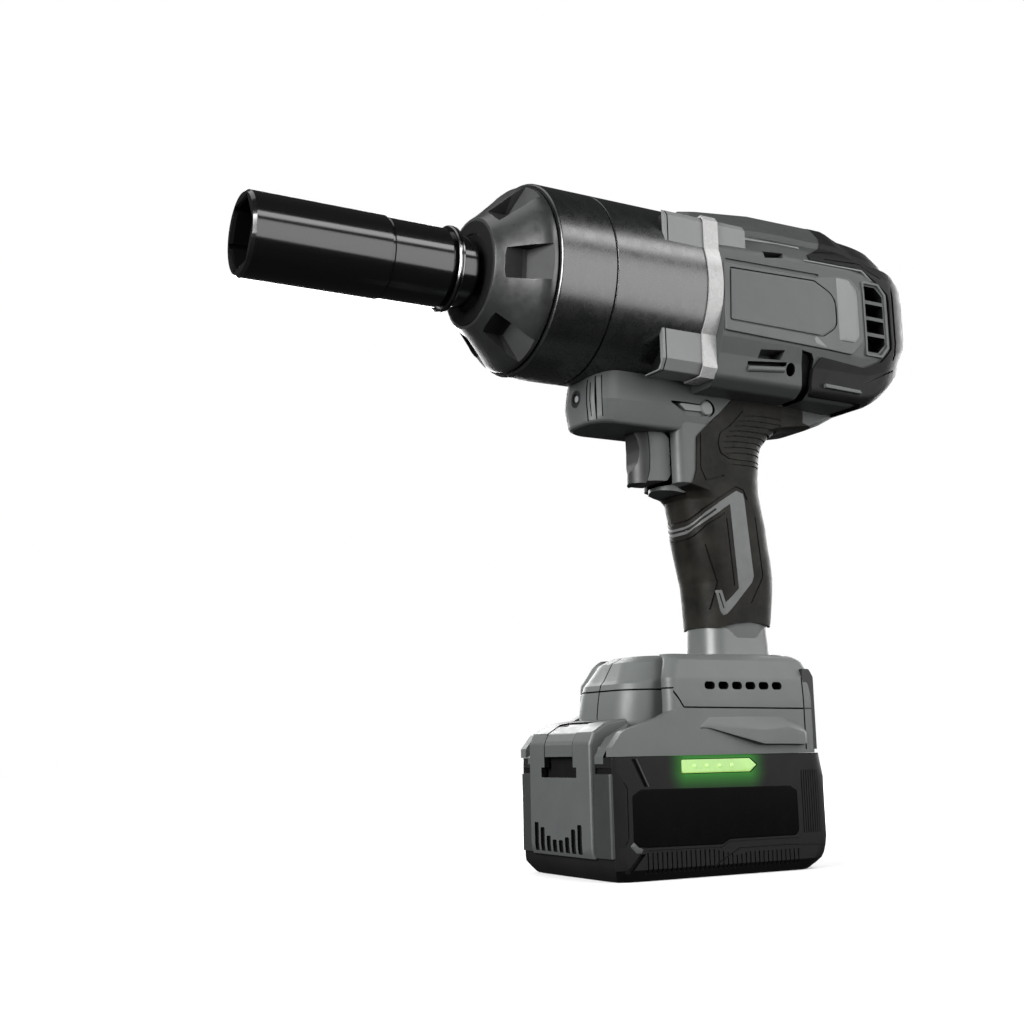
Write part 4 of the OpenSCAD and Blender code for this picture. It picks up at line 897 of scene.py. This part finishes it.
def rounded_front(name, outline, centre, half, deep, z0, z1, mat):
    """A side outline across x, cut to a plan that is rounded at the front."""
    o = mesh_of(name, across(outline, -12, 12), mat)
    plan = [(half * math.cos(math.radians(a)), centre + deep * math.sin(math.radians(a)))
        for a in range(-180, 1, 6)]
    boolean(o, "INTERSECT", [prism(plan + [(half, 20), (-half, 20)], "z", z0, z1)])
    return o


def make_trigger():
    lip = fillet([(-4.8, 171.8), (-4.6, 173.4), (-1, 173.6), (4, 173.8), (9, 175.4), (10.4, 171), (5, 170.2),
        (0, 171)], [0.4, 0.4, 2, 2, 1, 1, 2, 3], 3)
    o = rounded_front("trigger_lip", lip, 4.6, 10.3, 9.4, 160, 180, GREY)
    finish(o, GREY, 0.4, 3)
    body = fillet([(-12, 198.2), (-4.2, 198.2), (-1.2, 195.6), (-1.2, 178.2), (-3.2, 175.2), (-12.8, 174.8),
        (-11.5, 179.6), (-11.1, 187), (-11.4, 194)], [0.3, 3, 2.5, 1.5, 1.5, 0.3, 3, 6, 5], 4)
    o = rounded_front("trigger_body", body, -6, 9.7, 11.6, 170, 205, GREY)
    finish(o, GREY, 0.45, 3, replaces=("trigger",), body="trigger")
    pad = fillet([(-17, 198.2), (-15.9, 194.8), (-15.2, 190), (-15.9, 184), (-17.6, 179.6), (-18, 177),
        (-17.6, 174.3), (-13.2, 173.9), (-12.9, 175), (-11.9, 179.6), (-11.5, 187), (-11.8, 194),
        (-12.2, 198.2)], [0.5, 4, 8, 5, 1.5, 1, 0.8, 0.6, 1, 4, 6, 5, 0.3], 4)
    o = rounded_front("trigger_face", pad, -5.8, 9.3, 11.9, 170, 205, "black_soft")
    finish(o, BLACK, 0.4, 3, replaces=("trigger_pad",), body="trigger")


make_trigger()


# ---------------------------------------------------------------- neck and foot

def oval(half, f, b, rb, z):
    """A level ring with 12 mm front corners and rear corners of radius rb."""
    return level([(0, f)] + arc(half - 12, f + 12, 12, -90, 0, 10) + arc(half - rb, b - rb, rb, 0, 90, 10)
        + [(0, b)], z)


piece("neck", solid([oval(16.8 + g, 14 - g, 55.6 + g, 12, z) for z, g in ((90, 0), (94.4, 0), (95.2, -1.2),
    (97, -1.5), (104, -1.8), (112, -2.2))]), "neck_grey", slot=GREY, bevel=0.3, angle=30)
piece("neck_flange", solid([oval(17.6 + g, 12.6 - g, 56.4, 9, z) for z, g in ((93, 1.6), (94.6, 1.6),
    (95.2, 1))]), "foot_grey", slot=GREY, bevel=0.2)


def foot_ring(z):
    f = table([(50.4, -39.6), (68, -39.4), (76, -38.4), (81.4, -37), (83.4, -35.2), (91, -30.6), (93.8, -25)],
        z)
    half = table([(50.4, 38), (74, 38), (83, 37.4), (84.2, 36.8), (91.5, 33.4), (93.2, 31), (93.8, 29)], z)
    b = table([(50.4, 53.5), (87, 53.5), (91, 52.4), (93, 50.6), (93.8, 48.5)], z)
    dome = table([(50.4, 25), (76, 25), (83, 24), (93.8, 19)], z)
    pull = table([(50.4, 0), (83, 0.6), (93.8, 6)], z)
    return level([(0, f)] + arc(dome - 14, f + 14, 14, -90, -4, 12) + [(dome + 0.1, -19.5 + pull)] + arc(dome
        + 2, -17.6 + pull, 2, 170, 70, 4) + arc(half - 4.8, -22.2 + pull, 4.8, -200, -2, 14) + arc(half - 4.6,
        b - 4.6, 4.6, 0, 90, 8) + [(0, b)], z)


def make_foot():
    o = mesh_of("foot_shell", solid([foot_ring(z) for z in (50.4, 56, 62, 68, 72, 74, 78, 81.4, 82.6, 83.4, 87,
        91, 92.4, 93.4, 93.8)]), "foot_grey")
    skirt = fillet([(-57, 50.4), (-57, 54.2), (-51.6, 60.6), (-32.4, 66.2), (-24, 70), (-12, 70), (-12, 50.4)],
        [0, 1.2, 3, 6, 3, 0, 0], 4)
    boolean(o, "UNION", [on_side(across(skirt, 33.6, 38)) for tag, on_side in SIDES])
    grooves, bays = [prism([(-0.4, 49), (0.4, 49), (0.4, 98), (-0.4, 98)], "y", -46, -24)], []
    for tag, on_side in SIDES:
        seam = path_band([(-27.4, 78.65), (-25.4, 78.65), (-19.9, 70.5), (44.6, 69.9), (52, 69.9)], 0.7, 36.9,
            40)
        seam += [box((0.3, -45, 78.3), (25.4, -20, 79)), box((24, -36, 78.3), (37, -15, 79)),
            across([(45.8, 52), (46.5, 52), (46.5, 88), (45.8, 88)], 37.1, 40)]
        grooves += [on_side(bm) for bm in seam]
        for k in range(6):
            y = -8.3 + 7.4 * k
            bay = fillet([(y, 78.1), (y + 5.6, 78.1), (y + 5.6, 81.5), (y, 81.5)], 1.6, 4)
            bays.append(on_side(across(bay, 30, 42)))
    # the hollow underside, the bays and the seam lines are cut with painted shade on their faces
    cut(o, [box((-31.2, -60, 50), (31.2, 50.2, 62))])
    cut(o, bays)
    cut(o, grooves)
    finish(o, GREY, 0.3, 3, 19, 20, replaces=("housing_right",))
    for tag, on_side in SIDES:
        # wedge low on the side, with its dark underside
        rings = []
        for y, x1, top, mid, x2, low in ((-11.6, 38, 63, 62.6, 38, 61.6), (-7, 38.5, 66.6, 63.5, 38.7, 61.6),
                (20, 41.6, 66.6, 58.6, 41.6, 54.6), (33.6, 41.6, 66.4, 60.2, 41.6, 54.4), (43, 41.2, 62.8, 58.4,
                41.4, 54.2), (45.4, 39.6, 61.6, 58.4, 40, 54.6)):
            rings.append([(36, y, top), (37.9, y, top), (x1, y, mid + (top - mid) * 0.25), (x2, y, mid - 1.2),
                (x2, y, low), (36, y, low - 0.8)])
        piece(f"foot_wedge_{tag}", on_side(solid(rings)), "foot_grey", slot=GREY, bevel=0.3)
        tail = fillet([(46.6, 52), (46.6, 87.6), (50.6, 87.6), (52.9, 84), (52.9, 52)], [0, 0.6, 1.5, 2, 0], 3)
        piece(f"foot_tail_{tag}", on_side(across(tail, 30, 37.5)), BLACK, bevel=0.3)
        piece(f"foot_shadow_{tag}", on_side(across([(-9, 72), (37, 72), (37, 84), (-9, 84)], 30.4, 31)),
            "painted_shade", slot=BLACK, bevel=0)


make_foot()
BUTTON_AT = (27.5, 79.5)
piece("speed_knob", bolt([(48.4, 5.9), (49.8, 5.9), (49.8, 5.3), (55.6, 5.3), (57.2, 4.7), (58.4, 3.2),
    (58.9, 1.2), (58.95, 0.2)], BUTTON_AT, "y"), "foot_grey", "speed_button", GREY, bevel=0.15, smooth=40,
    replaces=("speed_button",))
piece("speed_collar", bolt([(52.6, 6.8), (54.1, 6.8), (54.1, 5.6), (52.6, 5.6)], BUTTON_AT, "y"), BLACK,
    bevel=0.15)


# ---------------------------------------------------------------- battery

LABEL = fillet([(-48.5, 16.4), (-48.5, 34.6), (-44, 37), (34.4, 36.4), (38.6, 34.4), (38.6, 17), (36.4, 15.2),
    (0.6, 15.2), (-3.6, 13.2), (-42, 13.6), (-46, 14.2)], [1.2, 1.5, 2, 2, 2, 2, 1.5, 2, 2, 2, 1], 4)
GAUGE = fillet([(-23.3, 42.7), (-23.3, 48.9), (13.4, 48.9), (17.4, 45.8), (13.4, 42.7)], [0.8, 0.8, 0.6, 0.6,
    0.6], 3)
SCREWS_AT = [(s * x, y) for s in (1, -1) for x, y in ((24, -49.8), (28, 48))]


def battery_ring(z):
    half = table([(0, 34.6), (0.6, 35.2), (5, 39), (50, 39)], z)
    f = table([(0, -53), (1, -54.4), (5.6, -57.2), (44, -57.6), (50, -57.2)], z)
    b = table([(0, 51.6), (2, 54.4), (8, 58.8), (14, 60), (40, 60), (50, 58)], z)
    return level([(0, f), (25.4, f), (half - 2.4, f + 0.8), (half - 1.9, f + 1.3), (half, f + 5.6)]
        + arc(half - 11, b - 11, 11, 0, 90, 8) + [(0, b)], z)


def make_battery():
    o = mesh_of("battery_case", solid([battery_ring(z) for z in (0, 0.7, 3, 5, 7, 10, 14, 24, 34, 40, 46, 49,
        50)]), "shell_black")
    lip = [(-8, 4.6), (-1, 8.2), (5, 11.2), (30, 11.4), (62, 10.2)]
    grooves, dark = path_band(lip, 0.5, 38.5, 42) + path_band(lip, 0.5, -42, -38.5), []
    for tag, on_side in SIDES:
        fine = [box((37.4, y, 1.6), (42, y + 0.6, table([(-8, 11.6), (4, 8.4), (9, 9.6)], y))) for y in (-42
            + 2.4 * k for k in range(34))]
        fine += [box((38.65, 41.2 + 1.3 * k, 16), (42, 41.7 + 1.3 * k, 43)) for k in range(8)]
        for line in ([(-55.2, 44), (-50.8, 37.8), (-50.8, 17.4), (-54.4, 12)], [(-42, 12.4), (-4.4, 12),
                (0, 14.2), (38, 14)]):
            fine += path_band(line, 0.45, 38.6, 42)
        grooves += [on_side(bm) for bm in fine]
        # relief round the label, cut with painted shade on its faces: a long bevel at its upper corner and a
        # step at its lower one
        for points, depth in (([(-48.4, 49.4), (-46.6, 49.4), (-40.8, 38), (-42.4, 38)], 38.3), ([(-45.4, 11.2),
                (-42.6, 11.2), (-50, 3.6), (-53.4, 3.6)], 37.6), (LABEL, 38.55), (GAUGE, 38.3)):
            dark.append(on_side(across(points, depth, 42)))
    dark += [box((-40, -62, 43.7), (40, -56.6, 45.9)), box((-24, -62, 9.4), (24, -56.2, 48)), box((-12.6, -62,
        46), (12.6, -56.4, 52))]
    cut(o, grooves, "shell_black")
    cut(o, dark)
    boolean(o, "UNION", [box((-37.6, -56, 49.6), (37.6, 53, 50.3)), box((-22, -38, 49), (22, 50, 57)),
        box((-25, -38, 56), (25, 50, 60)), box((-28, -30, 55), (28, 50, 60))])
    cut(o, [box((x - 1.4, 26, 51), (x + 1.4, 60, 70)) for x in (-16, -6, 6, 16)])
    cut(o, [bolt([(-1, 2.7), (2, 2.7)], at, "z", 32) for at in SCREWS_AT])
    finish(o, "shell_black", 0.3, angle=24, smooth=34, replaces=("battery_base", "battery_lid"), body="battery")


def make_screw(k, x, y):
    o = mesh_of(f"battery_screw_{k}", bolt([(0.5, 1.6), (0.2, 2), (0.2, 2.3), (0.5, 2.5), (1.8, 2.5),
        (2.4, 1.4)], (x, y), "z", 32), "dark_steel")
    cut(o, [box((x - u, y - v, -1), (x + u, y + v, 1.1)) for u, v in ((0.35, 1.5), (1.5, 0.35))])
    finish(o, "dark_steel", 0.05, 1, replaces=("battery_screws",) if k == 0 else (), body="battery")


def shrunk(points, cy, cz, k):
    """The outline with each side moved k towards a point."""
    def near(v, c):
        return v + math.copysign(k, c - v) if abs(c - v) > k else v
    return [(near(y, cy), near(z, cz)) for y, z in points]


def make_battery_side(tag, on_side):
    # grey step at the label's lower corner on the black case: a painted highlight on that facet
    wedge = fillet([(-50.6, 14.6), (-48.6, 16.2), (-45.8, 13.6), (-43.4, 13), (-44.6, 11.2), (-47.4, 11.4)],
        0.3, 2)
    peak = [(y, z + 0.4) for y, z in scaled(wedge, -47, 13.4, 0.6)]
    piece(f"label_step_{tag}", on_side(stack((38.4, wedge), (38.9, wedge), (39.3, peak))), "front_grey",
        "battery", GREY, bevel=0)
    # grey strip along the label's upper bevel on the black case: a painted highlight line
    bevel = [(-46.2, 49.4), (-45.6, 49.4), (-39.8, 38), (-40.6, 38)]
    piece(f"label_bevel_{tag}", on_side(across(bevel, 38.4, 39.25)), "shade_and_highlight_grey", "battery", "shell_black",
        bevel=0.1)
    label = stack((38.4, LABEL), (38.75, LABEL), (38.9, shrunk(LABEL, -5, 26, 0.5)))
    piece(f"label_{tag}", on_side(label), "gloss_black", "battery", bevel=0, replaces=("label_panels",)
        if tag == "left" else ())
    lens = shrunk(GAUGE, -4, 45.8, 0.3)
    lens = stack((38.2, lens), (38.75, lens), (38.95, shrunk(lens, -4, 45.8, 0.4)))
    piece(f"gauge_{tag}", on_side(lens), "gauge_green", "battery", bevel=0, replaces=("gauge_lens",)
        if tag == "left" else ())
    for k in range(4):
        led = bolt([(38.9, 1), (39.1, 0.9), (39.2, 0.45)], (-16.5 + 6.6 * k, 45.8), "x", 20)
        piece(f"gauge_led_{tag}_{k}", on_side(led), "led", "battery", "gauge_green", bevel=0)


make_battery()
for k, at in enumerate(SCREWS_AT):
    make_screw(k, *at)
for tag, on_side in SIDES:
    make_battery_side(tag, on_side)


def make_battery_front():
    line = [(-58.9, 9.2), (-59.7, 11), (-60, 14), (-60, 55.4), (-59.4, 57.2), (-57.8, 60.8), (-51.5, 64.6),
        (-41.2, 66.2), (-40.6, 65.6), (-40.6, 50.4), (-57.4, 50.2), (-57.4, 9.2)]
    layers = []
    for x, k in ((-25.6, 1.2), (-25.3, 0.4), (-24.6, 0), (24.6, 0), (25.3, 0.4), (25.6, 1.2)):
        layers.append((x, [(y + (k if i < 7 else 0), z - (k * 0.8 if 4 <= i < 9 else 0)) for i, (y,
            z) in enumerate(line)]))
    o = mesh_of("battery_panel", stack(*layers), "front_grey")
    # recesses and vent slots of the panel, cut with painted shade on their faces
    dark = [box((-14.6, -62, 41.9), (14.6, -55, 46.2)), box((-11.9, -62, 46.1), (11.9, -46.4, 70))]
    for k, top in enumerate((22.6, 20.6, 17.2, 15.8, 15.8, 17.2, 20.6, 22.6)):
        x = -21.5 + 5.1 * k
        dark.append(prism(fillet([(x, 10.6), (x + 3.4, 10.6), (x + 3.4, top), (x, top)], 0.7, 3), "y", -62,
            -58.6))
    cut(o, dark)
    finish(o, GREY, 0.35, angle=26, smooth=34, replaces=("battery_front",), body="battery")
    for tag, on_side in SIDES:
        cheek = solid([[(25.2, -57.8, 47.4), (31.4, -57.2, 47.4), (31.4, -57.2, 50.6), (25.2, -57.8, 50.6)],
            [(25.2, -56, 54.4), (29, -54, 54.4), (29, -52, 56.4), (25.2, -52, 58.4)], [(25.2, -43, 62.4),
            (27, -42, 62.4), (27, -41, 63.4), (25.2, -41, 64.4)]])
        piece(f"panel_cheek_{tag}", on_side(cheek), "front_grey", "battery", GREY, bevel=0.3)
        # the panel's side return in a darker grey than the panel: painted shade on that facet
        plan = [(25, -56.6), (25, -58.4), (36, -57.7), (36.9, -57), (36.9, -56)]
        piece(f"panel_return_{tag}", on_side(prism(plan, "z", 9.6, 43.4)), "shade_and_highlight_grey", "battery", GREY,
            bevel=0.3)


def make_latch():
    line = [(-59.9, 50.6), (-59.9, 55.6), (-59.3, 57.3), (-57.7, 60.6), (-52.6, 63.6), (-47.2, 64.6),
        (-46.8, 63.8), (-46.8, 54.7), (-57, 54.5), (-57, 50.6)]
    line = fillet(line, [0.3, 1.5, 1.5, 2, 2, 0.5, 0.5, 0.5, 0.5, 0.3], 3)
    o = mesh_of("latch_shell", across(line, -11.5, 11.5), "front_grey")
    cut(o, [bolt([(-9.2, 5.2), (9.2, 5.2)], (-51.4, 68.6), "x", 32)], "front_grey")      # finger scoop
    finish(o, GREY, 0.4, smooth=34, replaces=("battery_latch",), body="battery_latch")


make_battery_front()
make_latch()

# spring coils copied from the CAD and hung on their bodies: axis, which end stays, travel
for name, joint, body, axis, end, travel in (("hammer_spring", "hammer_retract", "tool", 1, 1, 10),
        ("latch_springs", "latch_press", "battery", 2, 0, 3.3), ("trigger_spring", "trigger_pull", "tool", 1, 1,
        7)):
    low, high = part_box(name)
    spring = bpy.data.objects.new(f"{name}_coil", frame["nodes"][name].data.copy())
    scene.collection.objects.link(spring)
    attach(spring, body)
    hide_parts(name)
    anchor = [(a + b) / 2 for a, b in zip(low, high)]
    anchor[axis] = (low, high)[end][axis]
    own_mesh(spring)

# rounded edges on the CAD bodies that show as they are
for name, width in (("trim_band", 0.25), ("housing_screws", 0.15)):
    b = frame["nodes"][name].modifiers.new("bevel", "BEVEL")
    b.width, b.segments, b.limit_method, b.angle_limit = width * MM, 2, "ANGLE", math.radians(30)
